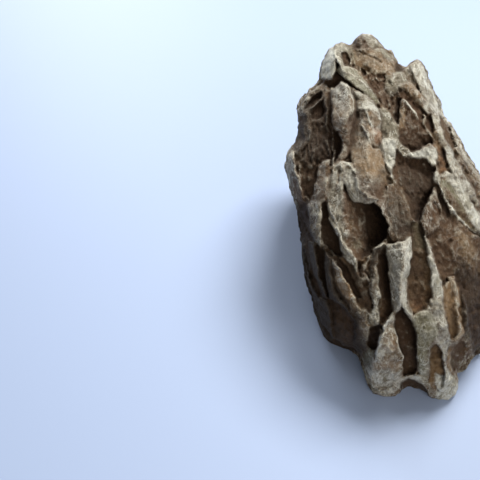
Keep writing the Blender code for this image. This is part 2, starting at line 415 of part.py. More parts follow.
def baked(piece):
    """Replaces the piece's mesh by what its modifiers make of it."""
    graph = bpy.context.evaluated_depsgraph_get()
    mesh = bpy.data.meshes.new_from_object(piece.evaluated_get(graph))
    piece.modifiers.clear()
    piece.data = mesh
    return piece


def remeshed(piece, voxel):
    remesh = piece.modifiers.new("fuse", "REMESH")
    remesh.mode = "VOXEL"
    remesh.voxel_size = voxel
    return piece


def smoothed(piece, factor, times):
    smooth = piece.modifiers.new("weather", "SMOOTH")
    smooth.factor = factor
    smooth.iterations = times
    return piece


def skin_tree(piece):
    return BVHTree.FromPolygons([v.co for v in piece.data.vertices],
                                [tuple(p.vertices) for p in piece.data.polygons])


def grid_places(points):
    """Across, up (steps) and lift (mm) of points, seen from the press point."""
    sight = points - np.array(PRESS_POINT)
    far = -(sight @ np.array(OUT)) / PRESS_DISTANCE
    across = sight @ np.array(RIGHT) / far / STEP + PRESS_ASIDE[0]
    up = sight @ np.array(UP) / far / STEP + PRESS_ASIDE[1]
    return across, up, PRESS_DISTANCE * (1.0 - far)


def inside_outline(corners, across, up):
    """Distance in steps inside a closed outline, negative outside it."""
    near = np.full(across.shape, 1e9)
    inside = np.zeros(across.shape, bool)
    for (ax, ay, _), (bx, by, _) in zip(corners, corners[1:] + corners[:1]):
        ex, ey = bx - ax, by - ay
        t = np.clip(((across - ax) * ex + (up - ay) * ey) / (ex * ex + ey * ey), 0.0, 1.0)
        near = np.minimum(near, np.hypot(across - ax - t * ex, up - ay - t * ey))
        crosses = (ay > up) != (by > up)
        inside ^= crosses & (across < (bx - ax) * (up - ay) / (by - ay + 1e-9) + ax)
    return np.where(inside, near, -near)


def between_corners(corners, across, up):
    """Height inside a plate, from the heights of its corners (mean value coordinates)."""
    to_x = [x - across for x, _, _ in corners]
    to_y = [y - up for _, y, _ in corners]
    far = [np.hypot(x, y) + 1e-6 for x, y in zip(to_x, to_y)]
    half_turn = []
    for i in range(len(corners)):
        j = (i + 1) % len(corners)
        cross = to_x[i] * to_y[j] - to_x[j] * to_y[i]
        dot = to_x[i] * to_x[j] + to_y[i] * to_y[j]
        cross = np.where(np.abs(cross) < 1e-6, 1e-6, cross)
        half_turn.append((far[i] * far[j] - dot) / cross)
    total, weights = 0.0, 0.0
    for i, (_, _, height) in enumerate(corners):
        weight = (half_turn[i - 1] + half_turn[i]) / far[i]
        total = total + weight * height
        weights = weights + weight
    heights = [height for _, _, height in corners]
    weights = np.where(np.abs(weights) < 1e-9, 1e-9, weights)
    return np.clip(total / weights, min(heights) - 1.0, max(heights) + 1.0)


def relief(across, up):
    """How far the face stands proud of the rough body, mm, at grid places."""
    proud = np.zeros(across.shape)
    for corners in PLATES.values():
        xs, ys = [c[0] for c in corners], [c[1] for c in corners]
        near = np.nonzero((across > min(xs) - 3) & (across < max(xs) + 3)
                          & (up > min(ys) - 3) & (up < max(ys) + 3))[0]
        if len(near) == 0:
            continue
        x, y = across[near], up[near]
        share = np.clip(inside_outline(corners, x, y) / PLATE_EDGE + 1.0, 0.0, 1.0)
        proud[near] += (between_corners(corners, x, y) - proud[near]) * share
    return np.where(proud < 0.0, SUNK_SHARE, PROUD_SHARE) * proud


def press_face(piece):
    """Moves the skin along the lines from the press point by the relief of the face."""
    points = np.array([v.co for v in piece.data.vertices])
    across, up, lift = grid_places(points)
    heights, lifts = zip(*EDGE_LIFT)
    behind = lift - np.interp(up * STEP, heights, lifts)
    fade = np.clip((behind + RELIEF_NONE) / (RELIEF_NONE - RELIEF_FULL), 0.0, 1.0)
    sight = np.array(PRESS_POINT) - points
    sight /= np.linalg.norm(sight, axis=1, keepdims=True)
    points += sight * (relief(across, up) * fade)[:, None]
    piece.data.vertices.foreach_set("co", points.ravel())
    piece.data.update()


def almond(bm, start, end, outward, half_width, below, above):
    """A pod with pointed ends from start to end, flat side towards `outward`."""
    along = end - start
    half = along.length / 2.0
    x_axis = along.normalized()
    z_axis = (outward - x_axis * outward.dot(x_axis)).normalized()
    y_axis = z_axis.cross(x_axis)
    pod = bmesh.ops.create_icosphere(bm, subdivisions=3, radius=1.0)["verts"]
    for vert in pod:
        x, y, z = vert.co
        swell = max(1.0 - x * x, 0.0) ** (HOLLOW_SWELL - 0.5)
        depth = above if z > 0.0 else below
        vert.co = ((start + end) / 2.0 + x_axis * (x * half) + y_axis * (y * half_width * swell)
                   + z_axis * (z * depth))


def strewn_cutters(bm, piece, tree):
    """Hollows on the back, sides and underside, running the way the stone's folds run."""
    rng = random.Random(SEED)
    polygons = [p for p in piece.data.polygons]
    taken = []
    for _ in range(STREWN_COUNT * 12):
        if len(taken) >= STREWN_COUNT:
            break
        spot = polygons[rng.randrange(len(polygons))]
        length, width = rng.uniform(*STREWN_LENGTH), rng.uniform(*STREWN_WIDTH)
        depth, turn = rng.uniform(*STREWN_DEPTH), rng.gauss(0.0, 0.22)
        centre, normal = Vector(spot.center), Vector(spot.normal)
        if seen_from_press(tree, centre, normal) or on_rest_patch(centre, width):
            continue
        if not thick_enough(tree, centre, normal, depth):
            continue
        if any((centre - other).length < reach + width for other, reach in taken):
            continue
        folds = Matrix.Rotation(turn, 3, normal) @ fold_direction(normal)
        half = folds * (length / 2.0)
        almond(bm, centre - half, centre + half, normal, width / 2.0, depth, CUTTER_LIFT)
        taken.append((centre, width * 0.5))


def seen_from_press(tree, centre, normal):
    sight = PRESS_POINT - centre
    if normal.dot(sight.normalized()) < 0.12:
        return False
    hit = tree.ray_cast(centre + normal * 0.5, sight.normalized())[0]
    return hit is None


def thick_enough(tree, centre, normal, depth):
    """Whether a hollow here leaves a sound wall behind it."""
    far_side = tree.ray_cast(centre - normal * 0.5, -normal)[0]
    return far_side is None or (far_side - centre).length > depth + SOUND_WALL


def on_rest_patch(centre, width):
    x, y, radius = REST_PATCH
    return centre.z < 4.0 and math.hypot(centre.x - x, centre.y - y) < radius + width


def fold_direction(normal):
    """Along the skin, down the length of the stone."""
    length_way = Vector((0.12, -1.0, -0.42))
    along = length_way - normal * length_way.dot(normal)
    if along.length < 0.25:
        length_way = Vector((0.2, 0.0, -1.0))
        along = length_way - normal * length_way.dot(normal)
    return along.normalized()


def cut_with(piece, cutters):
    cutters.hide_render = True
    cutters.display_type = "WIRE"
    press = piece.modifiers.new("press", "BOOLEAN")
    press.operation = "DIFFERENCE"
    press.solver = "EXACT"
    press.object = cutters
    baked(piece)
    bpy.data.objects.remove(cutters)


def thinned(piece):
    """Fewer, larger facets."""
    triangles = sum(len(p.vertices) - 2 for p in piece.data.polygons)
    fewer = piece.modifiers.new("facets", "DECIMATE")
    fewer.ratio = min(1.0, FACET_COUNT / triangles)
    fewer.use_collapse_triangulate = True
    return piece


def settle(piece):
    """Flattens what lies on the ground, centres the stone and brings it to its driving sizes."""
    for vert in piece.data.vertices:
        if vert.co.z < GROUND_SNAP:
            vert.co.z = 0.0
    corners = np.array([v.co for v in piece.data.vertices])
    low, high = corners.min(axis=0), corners.max(axis=0)
    middle = Vector(((low[0] + high[0]) / 2.0, (low[1] + high[1]) / 2.0, 0.0))
    fit = [size / (b - a) * MM for size, a, b in zip((WIDTH, LENGTH, HEIGHT), low, high)]
    piece.data.transform(Matrix.Diagonal((*fit, 1.0)) @ Matrix.Translation(-middle))


def keep_largest_body(piece):
    """Drops crumbs cut loose by the hollows."""
    bm = bmesh.new()
    bm.from_mesh(piece.data)
    seen, bodies = set(), []
    for face in bm.faces:
        if face in seen:
            continue
        body, stack = [], [face]
        seen.add(face)
        while stack:
            here = stack.pop()
            body.append(here)
            for edge in here.edges:
                for other in edge.link_faces:
                    if other not in seen:
                        seen.add(other)
                        stack.append(other)
        bodies.append(body)
    bodies.sort(key=len)
    crumbs = [face for body in bodies[:-1] for face in body]
    bmesh.ops.delete(bm, geom=crumbs, context="FACES")
    bmesh.ops.triangulate(bm, faces=bm.faces[:])
    bmesh.ops.recalc_face_normals(bm, faces=bm.faces[:])
    bm.to_mesh(piece.data)
    bm.free()
    return piece


def stone_material():
    material = bpy.data.materials.new("weathered_stone")
    material.use_nodes = True
    surface = material.node_tree.nodes["Principled BSDF"]
    surface.inputs["Base Color"].default_value = STONE_COLOUR
    surface.inputs["Roughness"].default_value = STONE_ROUGHNESS
    return material


def build_stone():
    body = object_from(rough_body(), "rough_body")
    baked(smoothed(remeshed(body, CLEANING_VOXEL), 0.5, WEATHERING))
    tree = skin_tree(body)
    stone = bpy.data.objects.new(NAME, body.data.copy())
    bpy.context.scene.collection.objects.link(stone)
    baked(remeshed(stone, DETAIL_VOXEL))
    press_face(stone)
    baked(remeshed(stone, DETAIL_VOXEL))
    cutting = bmesh.new()
    strewn_cutters(cutting, body, tree)
    cutters = object_from(cutting, "cutters")
    baked(remeshed(cutters, DETAIL_VOXEL))
    cut_with(stone, cutters)
    baked(remeshed(stone, DETAIL_VOXEL))
    keep_largest_body(stone)
    baked(thinned(stone))
    settle(stone)
    keep_largest_body(stone)
    bpy.data.objects.remove(body)
    stone.data.name = NAME
    stone.data.materials.clear()
    stone.data.materials.append(stone_material())
    return stone


for leftover in list(bpy.data.objects):
    bpy.data.objects.remove(leftover)
build_stone()
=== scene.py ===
"""The finished look of one dragon stone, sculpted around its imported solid.

The stone is worked out as a field of distances (millimetres, negative inside) on a grid of
small cubes, and skinned once at the end.  The sloping face is laid out on a tilted plane, the
face grid: a place on it is (across, down) in steps of 0.6 mm from the grid's top left corner.
Relief on the face is pressed in along lines that meet at the eye, so a mark stays at its
place whatever its depth.
"""
import math
import random
from types import SimpleNamespace

import bmesh
import bpy
import numpy as np
import openvdb
from mathutils import Matrix, Vector
from mathutils.bvhtree import BVHTree


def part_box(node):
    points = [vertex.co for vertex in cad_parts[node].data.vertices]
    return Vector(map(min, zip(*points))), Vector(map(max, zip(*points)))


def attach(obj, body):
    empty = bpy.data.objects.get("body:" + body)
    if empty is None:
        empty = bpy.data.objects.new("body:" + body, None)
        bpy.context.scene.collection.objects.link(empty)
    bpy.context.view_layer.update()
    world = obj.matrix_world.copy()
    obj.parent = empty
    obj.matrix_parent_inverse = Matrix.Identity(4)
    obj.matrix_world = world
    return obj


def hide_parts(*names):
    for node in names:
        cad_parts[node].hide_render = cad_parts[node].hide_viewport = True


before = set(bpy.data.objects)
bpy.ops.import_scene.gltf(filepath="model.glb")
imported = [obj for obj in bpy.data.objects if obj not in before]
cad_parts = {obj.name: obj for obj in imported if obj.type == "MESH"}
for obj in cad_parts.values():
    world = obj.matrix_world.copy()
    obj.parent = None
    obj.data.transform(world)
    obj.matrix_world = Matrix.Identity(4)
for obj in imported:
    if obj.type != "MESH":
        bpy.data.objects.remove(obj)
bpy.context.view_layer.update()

NODE = "dragon_stone"
PIECE = "finished_stone"

# ---- frame of the face ----
STEP = 0.6  # mm, one step of the face grid
FACE_TILT = math.radians(45.0)
FACE_HEIGHT = 62.0  # mm, height of the middle of the face
GRID_MIDDLE = (388, 222)  # place of the middle of the face on the grid
FRAME_MIDDLE = (240, 240)  # place straight in front of the eye
EYE_DISTANCE = 400.0  # mm
RIGHT = np.array((1.0, 0.0, 0.0))
UP = np.array((0.0, math.sin(FACE_TILT), math.cos(FACE_TILT)))
OUT = np.array((0.0, -math.cos(FACE_TILT), math.sin(FACE_TILT)))
FACE_CENTRE = np.array((0.0, 0.0, FACE_HEIGHT))
EYE = (FACE_CENTRE + RIGHT * ((FRAME_MIDDLE[0] - GRID_MIDDLE[0]) * STEP)
       + UP * ((GRID_MIDDLE[1] - FRAME_MIDDLE[1]) * STEP) + OUT * EYE_DISTANCE)
LENS = 50.0  # mm
SENSOR = 36.0  # mm
CLIP = (0.01, 10.0)  # m, nearest and farthest that the camera sees

VOXEL = 0.72  # mm, size of the sculpting cubes
TRIANGLES = 190000  # the finished mesh has no more than this
SEED = 11

# ---- rough body, much as in the solid ----
OUTLINE = (
    (353, 45), (356, 36), (363, 31), (373, 33), (381, 46), (391, 51), (398, 60), (403, 72),
    (408, 70), (413, 60), (421, 62), (428, 75), (432, 88), (441, 106), (446, 119), (459, 137),
    (467, 155), (476, 170), (486, 186), (497, 210), (502, 240), (503, 275), (498, 310),
    (490, 338), (482, 356), (472, 359), (468, 370), (459, 377), (460, 385), (456, 399),
    (447, 405), (436, 403), (426, 398), (414, 393), (403, 391), (398, 397), (390, 402),
    (377, 399), (368, 392), (364, 379), (359, 362), (352, 353), (338, 350), (327, 344),
    (319, 329), (311, 305), (305, 285), (301, 255), (299, 230), (294, 205), (288, 187),
    (284, 169), (285, 156), (294, 143), (297, 130), (295, 112), (301, 98), (312, 88),
    (321, 83), (318, 76), (323, 62), (328, 49), (337, 43), (345, 44), (350, 47),
)
SPINE = ((392, 322), (374, 104))  # the face is highest along a line between these places
# mm out of the grid, by height up the face in mm: along the spine, and round the outline
CREST_LIFT = ((-112, 26), (-100, 38), (-73, 45), (-40, 44), (-5, 38), (54, 14), (95, -9), (114, -20))
EDGE_LIFT = ((-112, 19), (-100, 10), (-76, -10), (-40, -14), (0, -14), (54, -24), (114, -32))
CREST_ROUNDNESS = 2.6  # 2 is round, more is flatter with a rounder edge
BELLY_DEPTH = 125.0  # mm
BELLY_ROUNDNESS = 2.1
RINGS = (0.97, 0.88, 0.74, 0.56, 0.34, 0.12)  # shares of the way from the spine to the outline
FLATS = {  # which way a flat faces, and mm from the origin
    "far_end": ((0.0, 1.0, 0.05), 112.0),
    "far_right": ((0.75, 1.0, -0.1), 98.0),
    "far_left": ((-0.75, 1.0, -0.25), 99.0),
    "right_side": ((1.0, 0.0, 0.0), 71.0),
    "left_side": ((-1.0, 0.0, -0.15), 61.0),
    "right_undercut": ((0.62, 0.2, -1.0), 30.0),
    "ground": ((0.0, 0.0, -1.0), 0.0),
}
BODY_VOXEL = 2.4  # mm
BODY_SMOOTHING = (0.5, 2)  # strength, and how many times

# ---- the faces the relief is built from, laid in this order ----
# name: (tint, its share, roughness, swell mm, corners (across, down, mm proud of the rough body))
# the dark tint on faces in crevices, gaps and slots, under the great scale, in the cave, and down the
# left flank, belly and lower right side is painted shade; on cracks and seams it is the stone's own dark
FACES = {
    # crown
    "crown_face": ("olive", 0.9, 0.4, 1.0, (350, 48, 0), (356, 48, 2), (366, 49, 3), (378, 51, 3),
        (388, 55, 2), (396, 62, 1), (404, 72, 0), (398, 76, 0), (390, 77, 2), (380, 76, 2), (370, 74, 1),
        (361, 71, 0), (355, 66, 0), (351, 60, 0)),
    "crown_face_low": ("olive", 0.6, 0.4, 0.0, (367, 66, 1), (377, 64, 2), (386, 70, 2), (389, 78, 1),
        (378, 79, 0), (371, 75, 0)),
    "crown_rust": ("rust", 0.5, 0.7, 0.0, (386, 60, 3), (393, 61, 2), (397, 68, 1), (395, 75, 0),
        (389, 72, 2), (385, 66, 3)),
    "crown_end": ("dark", 0.9, 0.7, -1.0, (394, 66, 0), (398, 64, -2), (403, 70, -3), (400, 75, -3),
        (396, 72, -2)),
    "crown_crack": ("dark", 0.7, 0.6, 0.0, (357, 65, 0), (362, 67, 0), (368, 71, -1), (370, 74, -1),
        (366, 74, -1), (361, 70, 0)),
    "knob_left": ("brown", 0.9, 0.5, 0.5, (354, 50, 1), (356, 42, 3), (362, 36, 5), (366, 42, 5),
        (371, 49, 2), (362, 51, 1)),
    "knob_right": ("grey", 0.7, 0.5, 1.0, (362, 36, 5), (367, 34, 4), (374, 37, 3), (379, 44, 1),
        (382, 50, 0), (371, 50, 2), (366, 42, 5)),
    "block_left": ("pale", 0.85, 0.5, 1.0, (319, 81, 0), (324, 62, 1), (329, 50, 2), (334, 47, 5),
        (335, 58, 7), (335, 70, 6), (331, 81, 4)),
    "block_front": ("grey", 0.8, 0.6, 0.5, (334, 46, 4), (340, 44, 3), (348, 48, 0), (351, 58, -1),
        (351, 68, 2), (345, 71, 4), (340, 69, 7), (335, 60, 7)),
    "block_pocket": ("brown", 0.6, 0.7, -0.5, (340, 55, 1), (344, 54, -1), (349, 60, -3), (350, 68, -3),
        (346, 68, -2), (342, 62, 0)),
    "block_under": ("brown", 0.9, 0.5, -0.5, (320, 83, -2), (331, 82, -1), (337, 76, -1), (343, 78, -3),
        (346, 84, -5), (338, 88, -5), (328, 90, -5), (322, 88, -4)),
    "crown_slope": ("olive", 0.9, 0.5, 0.5, (335, 72, 3), (340, 68, 6), (346, 68, 5), (352, 70, 3),
        (360, 77, 2), (367, 84, 2), (374, 92, 1), (380, 104, 1), (376, 106, 1), (368, 99, 2),
        (360, 93, 3), (352, 86, 4), (343, 79, 4)),
    "slope_crevice": ("dark", 0.6, 0.6, 0.0, (340, 80, -2), (350, 88, -1), (360, 95, 0), (369, 101, 0),
        (377, 107, -1), (381, 118, -2), (379, 119, -1), (371, 108, -1), (360, 99, 0), (352, 92, -1),
        (344, 87, -3), (338, 84, -4)),
    "crumbled": ("brown", 0.7, 1.3, -0.5, (364, 79, 0), (371, 76, 0), (384, 77, -1), (387, 83, -1),
        (386, 90, -2), (390, 98, -2), (397, 104, -3), (398, 118, -4), (392, 121, -4), (384, 110, -2),
        (378, 101, -1), (371, 91, -1)),
    "crumbled_hole": ("brown", 0.9, 1.4, -0.5, (367, 76, 0), (376, 76, 0), (384, 79, -1), (386, 86, -2),
        (380, 89, -2), (372, 84, -1)),
    "head_middle": ("grey", 0.7, 0.6, 1.5, (384, 78, 1), (392, 77, 2), (400, 74, 1), (408, 71, 0),
        (410, 80, 0), (405, 87, 1), (398, 90, 1), (394, 96, -1), (389, 98, -3), (385, 91, -2),
        (385, 84, -1)),
    "head_gap": ("grey", 0.5, 0.8, -0.5, (404, 72, -1), (410, 69, -1), (412, 78, -2), (417, 87, -2),
        (424, 98, -3), (420, 98, -4), (412, 89, -3), (407, 84, -1)),
    "head_crevice": ("dark", 0.8, 0.9, -1.0, (396, 99, -3), (400, 96, -5), (401, 106, -7), (399, 118, -9),
        (398, 131, -9), (394, 122, -7), (394, 110, -5)),
    "head_hollow": ("brown", 1.0, 0.7, -0.5, (396, 99, -2), (399, 95, -1), (405, 95, -1), (412, 101, -1),
        (418, 109, -2), (424, 119, -3), (420, 122, -3), (413, 115, -3), (407, 107, -3), (401, 101, -3)),
    "outer_plate": ("pale", 0.55, 0.5, 0.8, (409, 68, 1), (415, 63, 2), (421, 66, 1), (427, 76, 0),
        (431, 87, 0), (434, 96, 0), (440, 106, 0), (447, 118, 0), (442, 121, 1), (436, 115, 1),
        (429, 107, 1), (423, 98, 1), (417, 87, 1), (412, 76, 1)),
    "long_ridge_top": ("tan", 0.6, 0.6, 1.5, (399, 90, 1), (404, 86, 2), (410, 86, 2), (417, 93, 3),
        (425, 103, 4), (431, 112, 4), (424, 113, 1), (418, 107, 0), (412, 100, 0), (405, 94, 0)),
    "long_ridge": ("pale", 0.5, 0.5, 1.0, (421, 100, 3), (431, 108, 4), (438, 118, 4), (441, 126, 4),
        (444, 136, 4), (449, 147, 3), (453, 157, 3), (447, 157, 1), (441, 147, 1), (436, 136, 1),
        (431, 124, 1), (424, 113, 1)),
    "ridge_side": ("tan", 0.5, 0.8, -0.5, (423, 117, 1), (431, 124, 1), (436, 136, 1), (441, 147, 1),
        (440, 152, 0), (434, 146, -2), (429, 137, -3), (425, 128, -2)),
    "small_almond": ("brown", 1.0, 0.7, -0.5, (425, 120, -2), (429, 118, -3), (432, 126, -4),
        (432, 135, -4), (427, 130, -3)),
    "almond_leaf": ("brown", 0.85, 0.6, -1.0, (402, 102, 1), (406, 106, 1), (411, 112, 0), (417, 119, -1),
        (423, 127, -2), (429, 137, -4), (431, 147, -8), (426, 153, -9), (417, 155, -10), (407, 153, -9),
        (400, 146, -6), (398, 133, -3), (398, 120, -2), (399, 110, -1)),
    "flank_pocket": ("brown", 0.6, 0.5, -1.0, (440, 119, -1), (446, 125, -3), (452, 135, -4),
        (456, 148, -4), (452, 151, -3), (446, 142, -3), (442, 131, -3)),
    "flank_top": ("pale", 0.4, 1.0, 0.5, (443, 114, 1), (448, 118, 0), (460, 137, 0), (470, 153, 0),
        (480, 172, 0), (492, 200, -1), (484, 200, 0), (472, 178, 1), (460, 155, 1), (452, 138, 1)),
    "flank_slab": ("pale", 0.5, 0.7, 0.8, (444, 150, 3), (450, 155, 3), (457, 165, 3), (464, 178, 3),
        (472, 192, 2), (480, 208, 1), (470, 202, 1), (460, 190, 2), (452, 178, 3), (447, 166, 3)),
    "flank_streak": ("rust", 0.4, 0.9, -0.5, (434, 148, 0), (441, 151, -1), (445, 162, -1),
        (446, 174, -1), (440, 176, -1), (437, 164, 0)),
    # great scale, shard and tan plate
    "scale_left": ("tan", 0.5, 0.15, 0.8, (341, 84, 7), (336, 88, 5), (330, 97, 2), (330, 110, 2),
        (332, 119, 3), (336, 124, 5), (345, 123, 8), (350, 112, 9), (350, 100, 9), (346, 90, 9)),
    "scale_right": ("tan", 0.7, 0.5, 0.0, (345, 87, 8), (352, 92, 3), (356, 103, 1), (358, 113, 0),
        (357, 122, 0), (353, 131, 2), (346, 133, 6), (345, 123, 8), (350, 112, 9), (350, 100, 9)),
    "scale_low": ("tan", 0.7, 0.6, 0.5, (332, 119, 3), (334, 130, 2), (338, 133, 4), (346, 133, 7),
        (345, 123, 8), (336, 124, 5)),
    "scale_tail": ("brown", 0.95, 0.5, 0.8, (338, 130, 5), (346, 132, 7), (353, 129, 3), (356, 134, 1),
        (354, 146, 1), (350, 155, 1), (344, 163, 1), (337, 169, 1), (336, 167, 0), (340, 158, 2),
        (342, 149, 3), (341, 139, 4)),
    "scale_undercut": ("dark", 0.9, 0.5, -1.0, (334, 133, -4), (338, 135, -5), (340, 143, -6),
        (340, 152, -6), (338, 160, -5), (335, 166, -4), (335, 156, -5), (334, 144, -6)),
    "tan_left": ("tan", 0.9, 0.15, 0.3, (352, 132, 1), (357, 116, 0), (361, 124, 3), (365, 138, 5),
        (368, 160, 6), (369, 182, 6), (366, 203, 4), (360, 201, 5), (357, 191, 5), (356, 180, 4),
        (352, 165, 3), (349, 148, 1)),
    "tan_right": ("tan", 0.85, 0.15, 0.5, (365, 138, 5), (368, 142, 5), (373, 150, 5), (381, 152, 3),
        (385, 170, 2), (386, 186, 0), (382, 198, 0), (374, 204, 1), (366, 203, 3), (369, 182, 6),
        (368, 160, 6)),
    "shard_face": ("tan", 0.7, 0.6, 0.5, (358, 111, 2), (366, 111, 6), (374, 113, 6), (379, 120, 4),
        (381, 130, 3), (382, 140, 2), (379, 149, 1), (373, 151, 2), (368, 142, 6), (364, 132, 6),
        (360, 123, 4)),
    "shard_top": ("pale", 0.6, 0.6, 0.8, (349, 89, 3), (356, 93, 4), (366, 99, 4), (376, 107, 3),
        (380, 112, 2), (379, 121, 3), (374, 114, 6), (366, 112, 7), (358, 112, 3), (355, 102, 1)),
    "green_middle": ("grey", 0.8, 0.7, 0.5, (380, 112, 0), (385, 112, 0), (392, 121, 0), (398, 130, -1),
        (399, 141, -1), (402, 150, -1), (396, 147, 1), (390, 142, 1), (382, 141, 0), (381, 130, 0)),
    "knob_middle": ("pale", 1.0, 0.8, 1.0, (379, 147, 2), (383, 142, 3), (389, 140, 4), (395, 143, 4),
        (399, 150, 3), (398, 158, 1), (394, 166, 1), (391, 174, 0), (388, 172, 2), (384, 163, 2),
        (381, 157, 2)),
    "knob_gap": ("brown", 0.9, 0.8, -0.5, (396, 152, -1), (401, 153, -2), (407, 157, -3), (417, 162, -4),
        (424, 163, -4), (431, 169, -4), (434, 175, -3), (424, 174, -5), (412, 170, -6), (400, 168, -5),
        (395, 162, -3)),
    "knob_bar": ("grey", 0.8, 0.8, 0.5, (396, 142, 1), (401, 147, 1), (407, 152, 0), (412, 157, -1),
        (408, 162, -2), (402, 158, -1), (398, 152, 0)),
    # middle recess and the parts round it
    "recess_upper": ("brown", 1.0, 0.6, -0.5, (392, 170, -1), (399, 167, -4), (412, 169, -6),
        (424, 172, -6), (433, 178, -3), (433, 190, -3), (424, 194, -6), (412, 192, -4), (400, 190, -2),
        (394, 182, 0)),
    "recess_lower": ("brown", 1.0, 0.6, -0.5, (399, 190, -2), (412, 192, -4), (424, 194, -6),
        (431, 192, -5), (428, 199, -8), (423, 208, -11), (420, 218, -12), (416, 225, -8), (411, 219, -4),
        (405, 206, -2)),
    "recess_slot": ("dark", 1.0, 0.6, -1.0, (430, 195, -7), (424, 206, -12), (421, 215, -14),
        (418, 224, -13), (416, 222, -10), (418, 212, -10), (422, 202, -9)),
    "wedge": ("brown", 0.75, 0.5, 0.8, (384, 197, 1), (388, 188, 1), (394, 184, 0), (400, 192, -1),
        (405, 204, -1), (411, 215, -1), (411, 224, -1), (409, 233, -1), (409, 241, 0), (404, 243, 1),
        (396, 244, 1), (391, 243, 1), (386, 231, 2), (380, 217, 3), (373, 205, 3), (378, 202, 2)),
    "boss_left": ("grey", 0.7, 0.6, 0.6, (326, 188, 2), (333, 184, 3), (341, 188, 3), (343, 200, 3),
        (345, 215, 2), (347, 235, 1), (349, 253, 0), (343, 253, 1), (339, 242, 2), (336, 232, 2),
        (330, 225, 2), (326, 212, 2), (325, 200, 1)),
    "boss_middle": ("brown", 0.95, 0.6, 2.5, (342, 188, 1), (346, 196, 0), (353, 203, -2), (364, 205, -8),
        (370, 225, -10), (370, 245, -10), (366, 258, -7), (358, 264, -1), (350, 260, 0), (347, 252, 1),
        (345, 235, 2), (343, 215, 2), (342, 200, 2)),
    "cave_deep": ("dark", 0.9, 0.6, -0.5, (363, 204, -8), (372, 204, -12), (378, 210, -14),
        (384, 219, -16), (388, 230, -17), (386, 239, -15), (380, 245, -12), (374, 251, -10),
        (367, 258, -7), (368, 243, -10), (367, 225, -10)),
    "arch_left": ("grey", 0.7, 0.6, 0.2, (325, 186, 1), (329, 178, 2), (331, 169, 2), (336, 165, 2),
        (342, 165, 3), (345, 174, 4), (344, 184, 4), (341, 192, 3), (340, 199, 2), (334, 199, 2),
        (328, 195, 2)),
    "arch_right": ("pale", 0.6, 0.6, 0.2, (341, 165, 3), (350, 165, 3), (356, 172, 4), (358, 181, 5),
        (362, 190, 5), (369, 197, 5), (377, 202, 4), (372, 206, 2), (363, 206, 1), (354, 204, 1),
        (349, 198, 1), (345, 189, 3), (343, 182, 4), (345, 174, 4)),
    "boss_drip": ("grey", 0.8, 0.35, 0.8, (341, 240, 2), (346, 247, 3), (351, 254, 3), (356, 265, 2),
        (357, 275, 1), (353, 272, 0), (347, 264, 1), (342, 256, 1), (340, 247, 2)),
    # left flank
    "window_frame": ("brown", 0.8, 0.5, -0.5, (299, 113, 0), (303, 103, 0), (311, 94, 0), (322, 86, 0),
        (329, 91, -2), (331, 105, -3), (331, 126, -4), (322, 127, -3), (310, 124, -2), (301, 126, -1)),
    "window_upper": ("dark", 1.0, 0.4, -1.0, (305, 110, -4), (308, 105, -6), (314, 99, -7), (321, 95, -6),
        (321, 99, -7), (316, 105, -7), (311, 109, -6)),
    "window_lower": ("dark", 1.0, 0.5, -1.0, (311, 112, -5), (316, 108, -7), (322, 104, -8),
        (323, 116, -8), (319, 122, -7), (313, 121, -5)),
    "left_panel": ("dark", 0.9, 1.2, -1.0, (300, 127, 0), (310, 125, -2), (320, 127, -4), (329, 128, -4),
        (333, 140, -5), (333, 160, -5), (330, 167, -4), (317, 169, -5), (306, 171, -4), (296, 160, 0),
        (295, 147, 0)),
    "panel_column": ("brown", 0.9, 0.6, 0.5, (299, 114, 0), (306, 113, 1), (310, 125, 0), (309, 140, 0),
        (303, 152, 0), (294, 147, -1), (299, 130, 0)),
    "plank": ("brown", 0.8, 0.5, 0.5, (319, 168, 1), (323, 164, 3), (329, 163, 3), (329, 175, 3),
        (326, 190, 4), (324, 202, 4), (318, 205, 3), (311, 207, 2), (311, 200, 1), (315, 188, 1),
        (318, 178, 1)),
    "plank_gap": ("dark", 0.9, 0.6, -1.0, (303, 171, -4), (317, 169, -6), (317, 180, -7), (313, 191, -6),
        (310, 203, -5), (305, 199, -4), (302, 186, -3)),
    "left_column": ("pale", 0.6, 0.6, 1.0, (284, 164, 0), (287, 156, 0), (293, 155, 2), (295, 165, 3),
        (297, 175, 3), (300, 188, 3), (303, 200, 2), (304, 206, 0), (300, 205, 0), (295, 200, 0),
        (290, 190, 0), (286, 180, 0)),
    "far_column": ("grey", 0.7, 1.0, 1.5, (306, 209, 2), (312, 204, 3), (318, 203, 3), (323, 208, 2),
        (322, 222, 2), (321, 238, 2), (320, 248, 1), (312, 242, 1), (308, 229, 1), (306, 218, 1)),
    "column_gap": ("dark", 0.8, 0.8, -1.0, (297, 202, -2), (305, 206, -4), (308, 220, -4), (309, 232, -5),
        (313, 243, -5), (306, 248, -4), (299, 240, -1), (297, 225, 0)),
    "pillar_groove": ("dark", 0.7, 0.6, -1.0, (322, 206, -3), (326, 208, -3), (328, 222, -4),
        (333, 231, -6), (338, 241, -7), (340, 251, -7), (341, 259, -6), (335, 256, -6), (328, 249, -6),
        (321, 241, -3), (322, 225, -3)),
    "left_outer": ("dark", 0.7, 0.7, 0.5, (299, 242, 0), (305, 245, 1), (309, 262, 1), (314, 280, 1),
        (321, 300, 1), (322, 318, 0), (316, 327, -1), (309, 305, -1), (303, 285, -1), (299, 262, -1)),
    "flute_edge": ("dark", 1.0, 0.4, -1.5, (304, 244, -2), (309, 249, -4), (313, 268, -5), (318, 286, -5),
        (322, 300, -4), (318, 299, -3), (312, 285, -4), (307, 268, -3)),
    "flute_rib": ("dark", 0.5, 0.7, 1.0, (309, 244, 0), (315, 249, 2), (318, 268, 2), (323, 288, 2),
        (328, 303, 1), (324, 301, 0), (318, 285, 0), (313, 268, 0)),
    "flute_front": ("dark", 1.0, 0.5, -1.0, (315, 249, -3), (322, 253, -4), (325, 270, -5),
        (328, 288, -5), (331, 301, -4), (327, 298, -4), (321, 280, -4), (318, 265, -4)),
